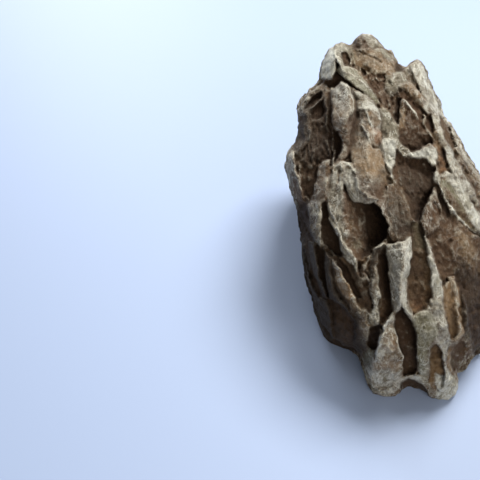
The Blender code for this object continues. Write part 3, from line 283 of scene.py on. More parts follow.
    "thin_strip": ("dark", 0.5, 0.35, 1.0, (325, 255, 1), (330, 261, 2), (332, 275, 2), (331, 285, 2),
        (334, 295, 2), (342, 305, 2), (351, 317, 1), (358, 327, 0), (350, 322, 0), (340, 311, 0),
        (330, 301, 0), (327, 285, 0), (325, 270, 0)),
    "strip_flow": ("brown", 0.9, 0.35, 0.5, (342, 262, -1), (350, 268, -1), (357, 276, 0), (364, 290, -1),
        (370, 302, -1), (370, 317, -1), (362, 311, -2), (356, 302, -2), (349, 290, -3), (343, 276, -3),
        (338, 266, -3)),
    "strip_gap": ("dark", 0.8, 0.7, -0.5, (337, 260, -3), (343, 266, -4), (348, 276, -4), (354, 287, -4),
        (361, 299, -3), (357, 301, -3), (350, 292, -4), (343, 280, -3)),
    "tan_strip": ("tan", 0.8, 0.35, 1.0, (330, 259, 1), (335, 265, 3), (341, 276, 3), (348, 288, 3),
        (353, 299, 2), (360, 314, 1), (353, 314, 0), (344, 304, 0), (337, 294, 0), (332, 280, 0),
        (330, 269, 0)),
    "belly_left": ("dark", 1.0, 0.7, -1.5, (322, 300, -2), (330, 302, -3), (342, 309, -4), (352, 320, -5),
        (359, 332, -5), (358, 350, -4), (348, 353, -3), (336, 350, -2), (326, 344, -1), (318, 326, -1)),
    "belly_edge": ("dark", 0.5, 0.6, 0.5, (320, 300, 0), (328, 303, 1), (331, 320, 1), (333, 340, 0),
        (326, 342, -1), (317, 326, 0)),
    "low_rib": ("dark", 0.45, 0.8, 1.5, (356, 318, 0), (364, 312, 1), (370, 316, 1), (369, 330, 1),
        (366, 345, 1), (365, 360, 1), (366, 376, 0), (360, 362, -1), (354, 348, -1), (354, 330, -1)),
    # centre
    "slot_centre": ("brown", 0.9, 0.4, -1.0, (377, 256, -3), (384, 254, -5), (389, 260, -7),
        (389, 280, -8), (390, 295, -7), (391, 302, -6), (384, 301, -4), (380, 300, -3), (378, 290, -3),
        (377, 275, -3)),
    "slot_block": ("dark", 0.8, 0.35, 1.0, (372, 257, 1), (374, 250, 2), (379, 246, 2), (385, 247, 0),
        (389, 252, -2), (384, 257, -3), (378, 256, 0), (376, 263, 1), (374, 276, 2), (373, 290, 2),
        (374, 301, 2), (371, 299, 0), (369, 285, 0), (369, 268, 0)),
    "slot_strip": ("grey", 0.6, 0.35, 1.0, (375, 270, 2), (377, 280, 2), (380, 298, 1), (379, 311, 1),
        (377, 322, 0), (373, 313, 1), (372, 300, 1), (373, 285, 2)),
    "foot_small": ("rust", 0.3, 0.6, -1.5, (378, 301, -3), (384, 302, -4), (391, 301, -5), (391, 312, -3),
        (387, 322, -2), (382, 327, -2), (378, 320, -2), (378, 310, -2)),
    "foot_bump": ("grey", 0.8, 0.9, 1.5, (369, 313, 0), (375, 310, 2), (378, 318, 2), (379, 326, 1),
        (374, 330, 0), (370, 327, 0), (367, 320, 0)),
    "foot_slot": ("dark", 0.9, 0.7, -1.0, (370, 331, -3), (377, 328, -4), (381, 329, -4), (379, 340, -5),
        (377, 350, -4), (372, 353, -3), (368, 349, -3), (368, 338, -3)),
    "pillar_west": ("grey", 0.6, 0.4, 0.5, (386, 248, 2), (393, 246, 6), (401, 245, 8), (404, 262, 9),
        (401, 275, 8), (399, 290, 7), (401, 305, 6), (398, 311, 3), (394, 315, 2), (391, 309, 1),
        (390, 295, 2), (388, 280, 2), (387, 265, 2)),
    "pillar_east": ("pale", 0.65, 0.4, 0.5, (401, 245, 8), (409, 240, 6), (410, 250, 5), (411, 260, 5),
        (410, 270, 4), (407, 281, 3), (405, 291, 3), (406, 301, 4), (410, 310, 3), (413, 320, 2),
        (411, 324, 2), (406, 320, 3), (402, 311, 5), (401, 305, 6), (399, 290, 7), (401, 275, 8),
        (404, 262, 9)),
    "groove_top": ("olive", 0.7, 0.4, -0.5, (410, 225, -3), (418, 225, -4), (424, 231, -4),
        (426, 240, -3), (425, 250, -2), (419, 253, -2), (412, 257, -3), (411, 248, -3)),
    "right_groove": ("tan", 0.8, 0.4, -1.0, (411, 262, -4), (414, 254, -3), (420, 250, -2),
        (426, 254, -1), (429, 266, 0), (430, 280, 0), (431, 292, 0), (429, 302, -1), (424, 310, -2),
        (418, 316, -1), (412, 314, -1), (409, 305, -3), (407, 295, -4), (407, 282, -4), (409, 272, -4)),
    "crest_upper": ("pale", 0.9, 0.6, 1.0, (425, 237, 1), (428, 248, 3), (431, 258, 4), (436, 270, 4),
        (440, 283, 4), (443, 299, 4), (436, 303, 4), (431, 302, 2), (430, 290, 2), (430, 276, 2),
        (427, 258, 2), (425, 246, 1)),
    "crest_lower": ("grey", 0.6, 0.6, 1.5, (430, 300, 2), (436, 302, 4), (443, 300, 4), (444, 312, 4),
        (447, 324, 4), (451, 337, 3), (446, 341, 3), (438, 340, 4), (437, 328, 4), (434, 318, 3),
        (428, 311, 2)),
    # right side
    "right_face": ("brown", 0.6, 0.6, -0.5, (426, 226, 0), (434, 224, 1), (441, 223, 0), (449, 217, -1),
        (456, 222, -1), (466, 231, 0), (478, 240, 0), (490, 250, 0), (500, 262, -1), (504, 285, -2),
        (500, 302, -3), (485, 300, -4), (470, 297, -4), (458, 290, -5), (449, 284, -5), (444, 284, -3),
        (440, 275, -3), (435, 262, -3), (431, 250, -3), (427, 238, -2)),
    "right_facet": ("tan", 0.4, 0.6, 0.3, (452, 236, 0), (460, 234, 0), (470, 244, 0), (478, 262, -1),
        (470, 282, -3), (460, 284, -4), (452, 268, -3), (449, 250, -1)),
    "almond_floor": ("olive", 1.0, 0.15, -0.2, (440, 182, 1), (446, 180, 1), (453, 187, 1), (459, 196, 1),
        (464, 207, 1), (469, 219, 1), (477, 232, 1), (474, 233, 0), (466, 227, -1), (458, 218, -1),
        (451, 207, 0), (445, 197, 0), (440, 189, 1)),
    "almond_outer": ("pale", 0.65, 0.5, 0.5, (441, 178, 2), (446, 174, 2), (454, 180, 2), (462, 191, 2),
        (470, 204, 2), (478, 218, 2), (488, 236, 1), (480, 236, 1), (473, 228, 1), (466, 215, 1),
        (461, 202, 1), (455, 191, 1), (447, 184, 1)),
    "almond_gap": ("dark", 0.7, 0.8, -0.5, (436, 191, -2), (439, 196, -3), (444, 206, -4), (449, 217, -3),
        (445, 221, -2), (441, 213, -4), (438, 202, -3)),
    "pointed_scale": ("brown", 0.6, 0.6, 0.5, (433, 190, 2), (437, 199, 2), (440, 210, 1), (442, 222, 0),
        (438, 230, 0), (431, 234, 1), (428, 236, 1), (424, 236, 0), (421, 227, 0), (423, 216, 1),
        (426, 206, 2), (430, 198, 2)),
    "scale_pocket": ("brown", 0.5, 0.9, -0.5, (433, 203, 1), (437, 207, 0), (439, 216, -1),
        (438, 222, -1), (434, 219, 0), (432, 211, 1)),
    "joint_knob": ("pale", 0.8, 0.5, 1.5, (432, 176, 2), (436, 174, 3), (440, 179, 3), (438, 186, 2),
        (434, 184, 1)),
    "knob_ridge": ("pale", 0.9, 0.8, 0.8, (404, 154, -1), (411, 155, 0), (419, 153, 1), (423, 149, 3),
        (429, 147, 3), (434, 150, 3), (436, 158, 3), (435, 167, 1), (431, 169, 1), (428, 163, 1),
        (422, 160, 1), (414, 160, 0), (408, 159, -1)),
    # lower part
    "low_hollow": ("brown", 1.0, 0.5, -1.0, (394, 320, -4), (396, 314, -6), (401, 311, -8),
        (405, 318, -8), (410, 325, -8), (414, 333, -8), (416, 345, -8), (417, 358, -7), (416, 370, -5),
        (413, 377, -4), (406, 379, -3), (401, 382, -2), (400, 372, -4), (401, 360, -6), (398, 349, -6),
        (394, 338, -5), (393, 328, -4)),
    "olive_plate": ("olive", 0.95, 0.1, 1.0, (411, 321, 1), (418, 315, 1), (427, 311, 2), (434, 317, 3),
        (438, 328, 4), (438, 338, 4), (433, 346, 3), (427, 352, 3), (426, 362, 3), (426, 375, 2),
        (420, 379, 1), (417, 372, 0), (416, 358, 0), (416, 342, 0), (414, 331, 0)),
    "foot_west": ("olive", 0.6, 0.8, 0.5, (380, 330, -1), (378, 345, 0), (374, 352, 1), (366, 351, 0),
        (362, 356, -1), (362, 366, -1), (365, 378, -1), (370, 388, -1), (373, 380, 3), (372, 366, 4),
        (376, 350, 5), (381, 336, 4)),
    "foot_east": ("tan", 0.7, 0.8, 0.5, (388, 320, 3), (393, 312, 2), (394, 330, 2), (397, 346, 3),
        (402, 360, 3), (401, 371, 2), (396, 374, 3), (384, 372, 4), (373, 372, 4), (372, 366, 4),
        (376, 350, 5), (381, 336, 5)),
    "foot_toe": ("tan", 0.6, 1.0, 1.0, (365, 378, -1), (373, 371, 3), (384, 371, 3), (396, 373, 2),
        (402, 370, 1), (402, 384, 0), (399, 392, -1), (391, 399, -2), (382, 399, -1), (374, 394, -1),
        (369, 388, -1)),
    "toe_pocket": ("tan", 0.7, 0.6, -0.5, (372, 377, 1), (380, 374, 1), (390, 376, 0), (394, 383, -1),
        (389, 390, -2), (381, 392, -2), (374, 387, -1)),
    "hollow_sill": ("pale", 0.6, 0.6, 0.8, (400, 382, 0), (406, 378, 1), (413, 377, 1), (419, 378, 2),
        (424, 384, 2), (432, 393, 1), (427, 395, 0), (419, 388, 0), (412, 383, -1), (405, 384, -1),
        (401, 390, -1)),
    "foot_middle": ("olive", 0.5, 0.6, 0.5, (426, 352, 3), (431, 346, 3), (433, 352, 1), (430, 364, 0),
        (428, 380, 0), (432, 391, 1), (436, 397, 0), (428, 394, 0), (420, 381, 1), (425, 374, 2),
        (426, 362, 3)),
    "foot_right": ("pale", 0.5, 0.8, 1.0, (433, 346, 3), (438, 338, 4), (446, 339, 3), (452, 342, 2),
        (450, 352, 2), (448, 362, 2), (450, 372, 2), (455, 380, 1), (460, 383, 0), (456, 397, -1),
        (450, 404, -2), (438, 403, -2), (431, 397, -1), (437, 393, 0), (442, 388, 2), (444, 378, 4),
        (442, 366, 4), (440, 355, 4)),
    "right_foot_hollow": ("tan", 0.8, 0.9, -1.0, (432, 350, -1), (436, 347, -1), (440, 355, -1),
        (442, 366, -1), (443, 378, -1), (441, 388, -1), (437, 393, -1), (431, 389, -1), (428, 380, -1),
        (429, 364, -1)),
    "lower_groove": ("tan", 0.9, 0.5, -0.5, (443, 290, 1), (449, 283, 1), (453, 290, 0), (454, 300, 0),
        (456, 312, 0), (456, 326, 0), (456, 337, 0), (451, 341, 0), (447, 332, 0), (445, 318, 1),
        (443, 304, 1)),
    "right_low": ("dark", 0.6, 0.8, 0.0, (456, 290, -3), (470, 296, -4), (486, 300, -4), (500, 302, -3),
        (498, 330, -3), (488, 352, -2), (472, 358, -2), (466, 350, -2), (462, 330, -2), (458, 310, -2)),
    "right_low_recess": ("dark", 0.8, 0.9, -1.0, (468, 311, -4), (476, 307, -5), (489, 311, -5),
        (493, 330, -5), (488, 349, -4), (476, 355, -3), (471, 343, -4), (468, 327, -4)),
    "thin_ridge": ("tan", 0.6, 0.7, 1.0, (462, 298, 0), (466, 311, 1), (467, 330, 1), (470, 350, 1),
        (472, 362, 0), (470, 371, 0), (466, 363, -1), (464, 345, -1), (462, 325, -1)),
    "lower_hollow": ("olive", 0.9, 0.8, -1.0, (451, 350, -2), (458, 345, -2), (462, 350, -3),
        (464, 360, -3), (465, 369, -2), (458, 374, -3), (452, 373, -3), (450, 362, -3)),
    "fork_ridge": ("tan", 0.85, 0.6, 1.0, (448, 281, 0), (453, 278, 1), (456, 290, 1), (458, 302, 1),
        (458, 314, 2), (460, 325, 2), (462, 334, 2), (458, 343, 2), (453, 348, 2), (450, 356, 2),
        (449, 364, 2), (452, 374, 2), (458, 383, 1), (452, 380, 1), (447, 371, 1), (446, 360, 2),
        (448, 350, 2), (453, 343, 2), (456, 336, 2), (456, 324, 1), (455, 312, 1), (453, 298, 1),
        (451, 288, 0)),
    "arch_shade": ("dark", 0.7, 0.6, -1.0, (401, 386, -6), (408, 382, -8), (416, 384, -8), (423, 390, -8),
        (427, 397, -8), (418, 397, -9), (408, 395, -9), (401, 393, -7)),
}

# ---- fine ridges and cracks ----
# name: (width in steps, mm proud, tint, its share, places along the line)
LINES = {
    "block_edge": (2.6, 1.2, "pale", 0.8, (334, 48), (335, 58), (340, 68), (345, 72)),
    "crown_seam": (1.8, -1.4, "dark", 0.5, (352, 52), (362, 57), (374, 60), (384, 66)),
    "window_rim": (2.2, 1.2, "tan", 0.6, (299, 114), (303, 104), (311, 95), (322, 88)),
    "window_bar": (1.6, 0.8, "brown", 0.3, (303, 112), (311, 110), (318, 104), (324, 97)),
    "fibre_1": (2.4, 3.0, "tan", 0.3, (325, 96), (326, 112), (327, 130), (330, 168)),
    "slope_vein": (2.0, 0.8, "pale", 0.7, (338, 70), (350, 76), (362, 84), (374, 96)),
    "plate_vein": (2.4, 0.8, "pale", 1.0, (417, 68), (423, 80), (430, 94), (438, 108)),
    "scale_vein": (1.8, 0.8, "pale", 0.8, (345, 86), (351, 96), (353, 108), (349, 120)),
    "shard_vein": (1.8, 1.0, "pale", 1.0, (358, 98), (364, 108), (368, 120), (373, 134), (374, 146)),
    "shard_vein_2": (1.6, 0.8, "pale", 0.8, (376, 108), (379, 116), (380, 124)),
    "recess_crest": (1.8, 0.8, "tan", 0.5, (384, 176), (394, 192), (402, 212), (408, 236)),
    "fibre_2": (2.0, 3.0, "tan", 0.3, (333, 134), (332, 150), (334, 164), (330, 182)),
    "fibre_3": (2.0, 1.5, "brown", 0.4, (310, 126), (308, 145), (312, 168)),
    "fibre_4": (1.8, 1.5, "brown", 0.4, (318, 126), (317, 145), (321, 165)),
    "leaf_edge": (1.6, 0.6, "tan", 0.6, (402, 102), (404, 112), (402, 128), (400, 138)),
    "almond_rim": (1.8, 1.6, "pale", 0.8, (401, 101), (406, 105), (412, 112), (419, 121)),
    "small_rim": (1.8, 1.8, "pale", 0.6, (423, 119), (424, 128), (430, 137), (434, 144)),
    "flank_crack_1": (1.6, -0.8, "dark", 0.5, (444, 118), (454, 134), (464, 151), (476, 172)),
    "flank_crack_2": (2.0, -1.0, "dark", 0.4, (454, 150), (460, 164), (472, 188), (484, 208)),
    "flank_crack_3": (1.6, -0.8, "dark", 0.4, (462, 160), (472, 178), (482, 196)),
    "shard_line": (1.6, 1.2, "pale", 0.9, (362, 126), (366, 137), (372, 149)),
    "shard_edge": (1.6, 1.0, "pale", 0.4, (352, 95), (357, 108), (358, 118)),
    "tan_lip": (2.0, 1.0, "pale", 0.5, (354, 192), (362, 200), (372, 203), (381, 199)),
    "knob_rim": (2.4, 1.2, "pale", 0.7, (386, 160), (389, 170), (392, 182)),
    "wedge_rim": (1.8, 1.0, "tan", 0.8, (371, 203), (380, 209), (386, 222), (393, 242)),
    "wedge_seam": (1.6, -0.9, "dark", 0.4, (386, 192), (386, 206), (391, 222), (397, 240)),
    "wedge_seam_2": (1.4, -0.8, "dark", 0.3, (397, 196), (399, 212), (403, 232)),
    "almond_inner_rim": (2.2, 2.2, "pale", 0.9, (436, 181), (441, 194), (448, 207), (457, 219),
        (467, 229), (480, 238)),
    "pillar_edge": (1.8, 1.0, "pale", 1.0, (409, 241), (410, 258), (408, 276), (405, 284)),
    "face_seam": (1.6, -0.6, "dark", 0.3, (446, 226), (442, 244), (446, 262), (449, 280)),
    "slot_edge": (1.6, 1.0, "grey", 0.7, (377, 272), (379, 290), (379, 306), (376, 320)),
    "foot_edge": (1.8, 0.8, "pale", 0.5, (393, 313), (390, 322), (383, 334), (379, 350)),
    "toe_crest": (2.4, 1.2, "pale", 0.9, (364, 372), (368, 384), (374, 392), (384, 396), (396, 394)),
    "foot_crest": (2.2, 1.0, "pale", 0.9, (392, 314), (386, 326), (380, 340), (376, 354), (374, 368)),
    "foot_rim": (1.8, 1.0, "pale", 0.7, (394, 330), (397, 346), (402, 360), (400, 371)),
    "arch_crest": (2.6, 1.4, "pale", 1.0, (331, 178), (335, 169), (343, 164), (350, 167), (355, 178),
        (359, 190), (367, 199), (380, 203)),
    "arch_crest_2": (1.8, 1.0, "pale", 0.9, (347, 170), (350, 182), (353, 194), (358, 203)),
    "arch_wrinkle": (1.6, -1.0, "brown", 0.5, (339, 170), (337, 184), (333, 200)),
    "boss_edge": (2.0, 1.0, "pale", 0.8, (329, 182), (326, 198), (331, 214), (338, 230), (343, 246),
        (351, 258)),
    "plank_edge": (1.6, 0.8, "grey", 0.8, (318, 170), (315, 188), (311, 204)),
    "strip_edge": (1.6, 0.8, "grey", 0.5, (325, 256), (326, 275), (329, 292), (340, 307), (352, 321)),
    "recess_fibre_1": (1.8, 1.2, "tan", 0.3, (398, 170), (401, 190), (408, 212)),
    "recess_fibre_2": (1.8, 1.2, "brown", 0.3, (408, 168), (411, 188), (415, 206)),
    "recess_fibre_3": (1.8, 1.2, "brown", 0.3, (420, 172), (421, 186), (419, 200)),
    "cave_seam": (1.8, -1.0, "dark", 0.4, (352, 206), (350, 222), (354, 240)),
    "flank_fold_1": (2.0, 1.4, "grey", 0.6, (301, 246), (304, 262), (309, 282), (316, 304)),
    "flank_fold_2": (2.0, 1.4, "grey", 0.6, (312, 247), (316, 262), (320, 280), (327, 300)),
    "cave_shelf": (2.6, 3.0, "brown", 0.5, (371, 252), (377, 249), (384, 246)),
}

# ---- stains, painted shade and painted highlights ----
# name: (tint, its share, over how many steps it ends, places round it)
PATCHES = {
    # painted shade over the lower left flank
    "left_flank_shade": ("dark", 0.95, 14, (290, 205), (310, 215), (322, 250), (340, 262), (356, 315),
        (360, 355), (325, 355), (300, 290)),
    "left_top": ("dark", 0.4, 8, (285, 175), (292, 140), (300, 85), (330, 80), (332, 165), (305, 172)),
    "groove_rust": ("rust", 0.7, 5, (409, 298), (426, 298), (421, 314), (411, 312)),
    "shard_rust": ("rust", 0.8, 4, (371, 130), (380, 128), (382, 146), (375, 150)),
    "foot_rust": ("rust", 0.5, 6, (384, 340), (394, 342), (396, 368), (384, 372)),
    "plate_rust": ("rust", 0.45, 6, (362, 184), (384, 176), (384, 196), (368, 200)),
    "plate_pale": ("pale", 0.3, 6, (354, 160), (384, 158), (380, 182), (358, 186)),
    "scale_pale": ("pale", 0.45, 6, (334, 92), (342, 86), (349, 92), (349, 108), (336, 112)),
    "cave_glow": ("olive", 0.8, 5, (352, 240), (362, 240), (362, 252), (352, 252)),
    "green_crest": ("grey", 0.6, 5, (428, 300), (440, 300), (442, 330), (432, 318)),
    "plate_cream": ("pale", 0.5, 5, (353, 138), (360, 126), (366, 138), (372, 152), (364, 164),
        (355, 164)),
    "scale_pink": ("tan", 0.6, 6, (338, 98), (348, 98), (350, 116), (338, 118)),
    # painted shade in the middle recess
    "recess_shade": ("dark", 0.85, 7, (398, 166), (434, 170), (434, 192), (420, 226), (408, 200),
        (398, 184)),
    # painted shade over the wedge
    "wedge_shade": ("dark", 0.8, 8, (384, 198), (396, 188), (412, 214), (411, 242), (392, 242)),
    # painted shade on the boss's right side, towards the cave
    "boss_shade": ("dark", 0.4, 8, (348, 204), (368, 204), (370, 250), (354, 262), (348, 240)),
    "panel_dark": ("dark", 0.8, 7, (302, 104), (330, 98), (334, 164), (306, 168)),
    "plank_dark": ("dark", 0.4, 5, (314, 168), (330, 164), (326, 204), (312, 206)),
    "scale_brown": ("brown", 0.9, 6, (333, 120), (356, 112), (358, 140), (350, 158), (338, 168),
        (341, 148), (338, 134)),
    "plate_brown": ("brown", 0.7, 9, (354, 174), (386, 170), (384, 202), (362, 202)),
    "shard_brown": ("brown", 0.35, 6, (354, 112), (366, 118), (368, 136), (358, 130)),
    # painted shade over the lower right side
    "right_side_shade": ("dark", 0.88, 14, (450, 268), (482, 272), (502, 290), (498, 345), (470, 352),
        (454, 325)),
    "right_brown": ("brown", 0.85, 8, (430, 240), (446, 226), (460, 250), (452, 280), (436, 270)),
    "groove_tan": ("brown", 0.5, 5, (412, 252), (428, 256), (429, 298), (410, 298)),
    # tan of the foot, partly the stone's own and partly painted light
    "foot_tan_and_light": ("tan", 0.5, 6, (376, 352), (396, 350), (400, 372), (388, 374), (376, 370)),
    # painted highlight on the foot
    "foot_highlight": ("pale", 0.6, 5, (386, 322), (392, 318), (394, 335), (388, 350), (378, 368), (374, 356),
        (380, 338)),
    "toe_rust": ("rust", 0.4, 4, (374, 378), (386, 378), (392, 388), (380, 392)),
    "scale_front": ("pale", 0.5, 6, (336, 90), (344, 88), (350, 96), (350, 110), (338, 116), (332, 104)),
    "shard_white": ("pale", 0.45, 3, (350, 88), (360, 93), (372, 103), (380, 113), (379, 120), (372, 112),
        (364, 110), (362, 118), (368, 132), (375, 146), (372, 148), (364, 136), (358, 120), (354, 104)),
    "plank_shade": ("brown", 0.7, 6, (308, 166), (330, 162), (328, 206), (308, 210)),
    "plate_tan": ("tan", 0.6, 8, (354, 138), (384, 150), (384, 178), (356, 178)),
    "plate_soil": ("tan", 0.95, 8, (360, 152), (382, 158), (385, 180), (362, 180)),
    "hollow_floor": ("rust", 0.35, 8, (396, 342), (412, 342), (414, 376), (402, 380)),
    "heel_tan": ("tan", 0.85, 4, (430, 352), (441, 352), (442, 388), (430, 388)),
    "heel_side": ("brown", 0.8, 6, (451, 342), (468, 342), (470, 374), (452, 376)),
    # painted shade under the belly
    "belly_shade": ("dark", 0.95, 8, (324, 300), (358, 318), (362, 352), (330, 350)),
    "almond_white": ("pale", 0.9, 3, (450, 182), (462, 190), (474, 212), (482, 232), (474, 228),
        (464, 208), (456, 194)),
    "leaf_pale": ("tan", 0.8, 3, (399, 108), (403, 104), (406, 112), (404, 130), (399, 134)),
    "leaf_dark": ("brown", 0.7, 6, (410, 120), (428, 134), (430, 150), (412, 152)),
    "crown_brown": ("brown", 0.8, 4, (360, 48), (374, 50), (374, 62), (362, 60)),
    "crown_green": ("grey", 0.7, 4, (376, 60), (388, 62), (392, 74), (380, 76)),
    "column_shade": ("brown", 0.85, 5, (290, 176), (304, 176), (306, 208), (294, 206)),
    "plate_light": ("pale", 0.4, 4, (376, 170), (386, 168), (386, 186), (378, 188)),
    "plate_corner": ("brown", 0.9, 5, (370, 186), (384, 186), (380, 202), (368, 202)),
    "strip_brown": ("dark", 0.85, 5, (347, 266), (360, 278), (371, 300), (369, 318), (358, 304)),
    "strip_tan": ("tan", 0.8, 3, (333, 264), (338, 270), (350, 290), (354, 300), (346, 302), (335, 286)),
    "panel_side": ("dark", 0.75, 4, (294, 128), (306, 124), (308, 150), (298, 158), (292, 150)),
    # browner along the almond's floor
    "almond_floor_brown": ("brown", 0.7, 2, (441, 187), (452, 196), (466, 218), (473, 230), (462, 222),
        (450, 207)),
    "fork_light": ("tan", 0.85, 2, (451, 280), (458, 290), (461, 312), (463, 334), (458, 343), (455, 326),
        (453, 306)),
    "crown_soil": ("tan", 0.75, 5, (352, 50), (378, 52), (394, 64), (392, 78), (366, 76), (354, 66)),
    "crown_head": ("brown", 0.7, 3, (354, 36), (364, 34), (366, 50), (354, 52)),
    "scale_dim": ("brown", 0.95, 5, (428, 196), (438, 204), (441, 226), (424, 234)),
    "window_dim": ("dark", 0.8, 3, (302, 108), (312, 97), (324, 92), (328, 126), (308, 126)),
    # painted highlight on the front of the toe
    "toe_front_highlight": ("pale", 0.75, 4, (364, 368), (376, 372), (392, 372), (402, 372), (402, 388), (390, 399),
        (372, 394)),
    # painted highlight on the right toe
    "toe_highlight": ("pale", 1.0, 4, (434, 376), (454, 378), (457, 402), (436, 402)),
}


def grid_point(places, lift):
    """World points (mm) on the lines from the eye through grid places, `lift` mm off the grid."""
    places = np.asarray(places, float)
    across = (places[..., 0] - GRID_MIDDLE[0]) * STEP
    up = (GRID_MIDDLE[1] - places[..., 1]) * STEP
    on_grid = FACE_CENTRE + across[..., None] * RIGHT + up[..., None] * UP
    share = 1.0 - np.asarray(lift, float)[..., None] / EYE_DISTANCE
    return EYE + (on_grid - EYE) * share


def grid_places(points):
    """Across, down and lift of world points."""
    ray = points - EYE.astype(points.dtype)
    far = -(ray @ OUT.astype(points.dtype)) / EYE_DISTANCE
    across = ray @ RIGHT.astype(points.dtype) / far / STEP
    up = ray @ UP.astype(points.dtype) / far / STEP
    return across + FRAME_MIDDLE[0], FRAME_MIDDLE[1] - up, EYE_DISTANCE * (1.0 - far)


def lift_at(table, down):
    heights, lifts = zip(*table)
    return np.interp((GRID_MIDDLE[1] - down) * STEP, heights, lifts)


# ---- rough body ----
def spine_place(place):
    foot, head = Vector(SPINE[0]), Vector(SPINE[1])
    along = head - foot
    t = (Vector(place) - foot).dot(along) / along.length_squared
    return foot + along * min(max(t, 0.0), 1.0)


def domed(share, roundness):
    return (1.0 - share ** roundness) ** (1.0 / roundness)


def ring_points(share, front):
    points = []
    for place in OUTLINE:
        middle = spine_place(place)
        here = middle + (Vector(place) - middle) * share
        edge = float(lift_at(EDGE_LIFT, here.y))
        if front:
            crest = float(lift_at(CREST_LIFT, here.y))
            bulge = (crest - edge) * domed(share, CREST_ROUNDNESS)
        else:
            bulge = -BELLY_DEPTH * domed(share, BELLY_ROUNDNESS)
        points.append(grid_point(here, edge + bulge))
    return points


def rough_body():
    """Rings shrinking from the outline to the spine, skinned, cut flat and weathered round."""
    bm = bmesh.new()
    rings = [ring_points(share, True) for share in reversed(RINGS)]
    rings.append(ring_points(1.0, True))
    rings += [ring_points(share, False) for share in RINGS]
    loops = [[bm.verts.new(point) for point in ring] for ring in rings]
    count = len(OUTLINE)
    for near, far in zip(loops, loops[1:]):
        for i in range(count):
            j = (i + 1) % count
            bm.faces.new((near[i], near[j], far[j], far[i]))
    bm.faces.new(loops[0])
    bm.faces.new(list(reversed(loops[-1])))
    bmesh.ops.triangulate(bm, faces=bm.faces[:])
    bmesh.ops.recalc_face_normals(bm, faces=bm.faces[:])
    for direction, distance in FLATS.values():
        cut_flat(bm, Vector(direction).normalized(), distance)
    bmesh.ops.recalc_face_normals(bm, faces=bm.faces[:])
    body = object_from(bm, "rough_body")
    remesh = body.modifiers.new("fuse", "REMESH")
    remesh.mode = "VOXEL"
    remesh.voxel_size = BODY_VOXEL
    smooth = body.modifiers.new("weather", "SMOOTH")
    smooth.factor, smooth.iterations = BODY_SMOOTHING
    return baked(body)


def cut_flat(bm, direction, distance):
    geometry = bm.verts[:] + bm.edges[:] + bm.faces[:]
    cut = bmesh.ops.bisect_plane(bm, geom=geometry, plane_co=direction * distance,
                                 plane_no=direction, clear_outer=True)
    rim = [e for e in cut["geom_cut"] if isinstance(e, bmesh.types.BMEdge)]
    bmesh.ops.holes_fill(bm, edges=rim, sides=0)
    bmesh.ops.triangulate(bm, faces=[f for f in bm.faces if len(f.verts) > 3])


def linked(name, data):
    piece = bpy.data.objects.new(name, data)
    bpy.context.scene.collection.objects.link(piece)
    return piece


def object_from(bm, name):
    mesh = bpy.data.meshes.new(name)
    bm.to_mesh(mesh)
    bm.free()
    return linked(name, mesh)


def baked(piece):
    graph = bpy.context.evaluated_depsgraph_get()
    mesh = bpy.data.meshes.new_from_object(piece.evaluated_get(graph))
    piece.modifiers.clear()
    piece.data = mesh
    return piece


# ---- noise ----
TABLE_SIZE = 64  # chance values along a side, after which a noise repeats
SCATTER = 0.42  # how far at most a scattered point lies off the middle of its cell


def eased(t):
    return t * t * (3.0 - 2.0 * t)


def lattice_noise(coords, seed):
    """Smooth value noise in -1..1 at points given in lattice cells, 2 or 3 coordinates."""
    rng = np.random.default_rng(seed)
    table = rng.uniform(-1.0, 1.0, (TABLE_SIZE,) * len(coords)).astype(np.float32)
    corners = [np.floor(c).astype(np.int64) for c in coords]
    parts = [eased(c - f) for c, f in zip(coords, corners)]
    total = 0.0
    for corner in range(2 ** len(coords)):
        weight, index = 1.0, []
        for k, (cell, part) in enumerate(zip(corners, parts)):
            high = corner >> k & 1
            weight = weight * (part if high else 1.0 - part)
            index.append((cell + high) % TABLE_SIZE)
        total = total + weight * table[tuple(index)]
    return total


def layered(coords, seed, octaves, gain=0.5, creased=False):
    """Noise at finer and finer scales, or, creased, the same with sharp crests in 0..1."""
    total, strength, whole = 0.0, 1.0, 0.0
    for octave in range(octaves):
        scale = 2.0 ** octave
        noise = lattice_noise([c * scale for c in coords], seed + octave)
        total = total + strength * (1.0 - np.abs(noise) if creased else noise)
        whole += strength
        strength *= gain
    return total / whole if creased else total


# ---- relief of the face ----
MAP_LOW = (270, 20)  # places that the relief map spans
MAP_HIGH = (512, 416)
MAP_FINE = 2  # samples per step
LAST_SAMPLE = 1.001  # places beyond a grid are read this far before its end
TINT_NAMES = ("pale", "grey", "tan", "olive", "brown", "rust", "dark")
BOLDNESS = 1.3  # how much bolder the faces stand out than they are written
HOLLOWNESS = 1.15  # ... and how much deeper they are sunk
SWELL = 0.6  # share of the swell that is written
FACE_EDGE = 1.1  # steps over which a face runs into what lies below it
TINT_EDGE = 4.0  # ... and its tint into the tints round it
TINT_AT_EDGE = 0.6  # share of its tint that a face has right at its edge
FACE_MARGIN = 6  # steps round a face where its edge can still reach
LINE_MARGIN = 4
LINE_TAPER = 6.0  # a line tapers over one part in this of its length at each end
LINE_BLUNTNESS = 0.6  # power of that taper, blunter the nearer it is to 0
LINE_SLIMMEST = 0.35  # share of its width that a line has at its ends
LINE_STAIN = 1.6  # how soon a line's tint is whole, from its edge inwards
# mm sunk where the painted shade in sunk faces is whole
SUNK_SHADE_FULL = 9.0  # mm
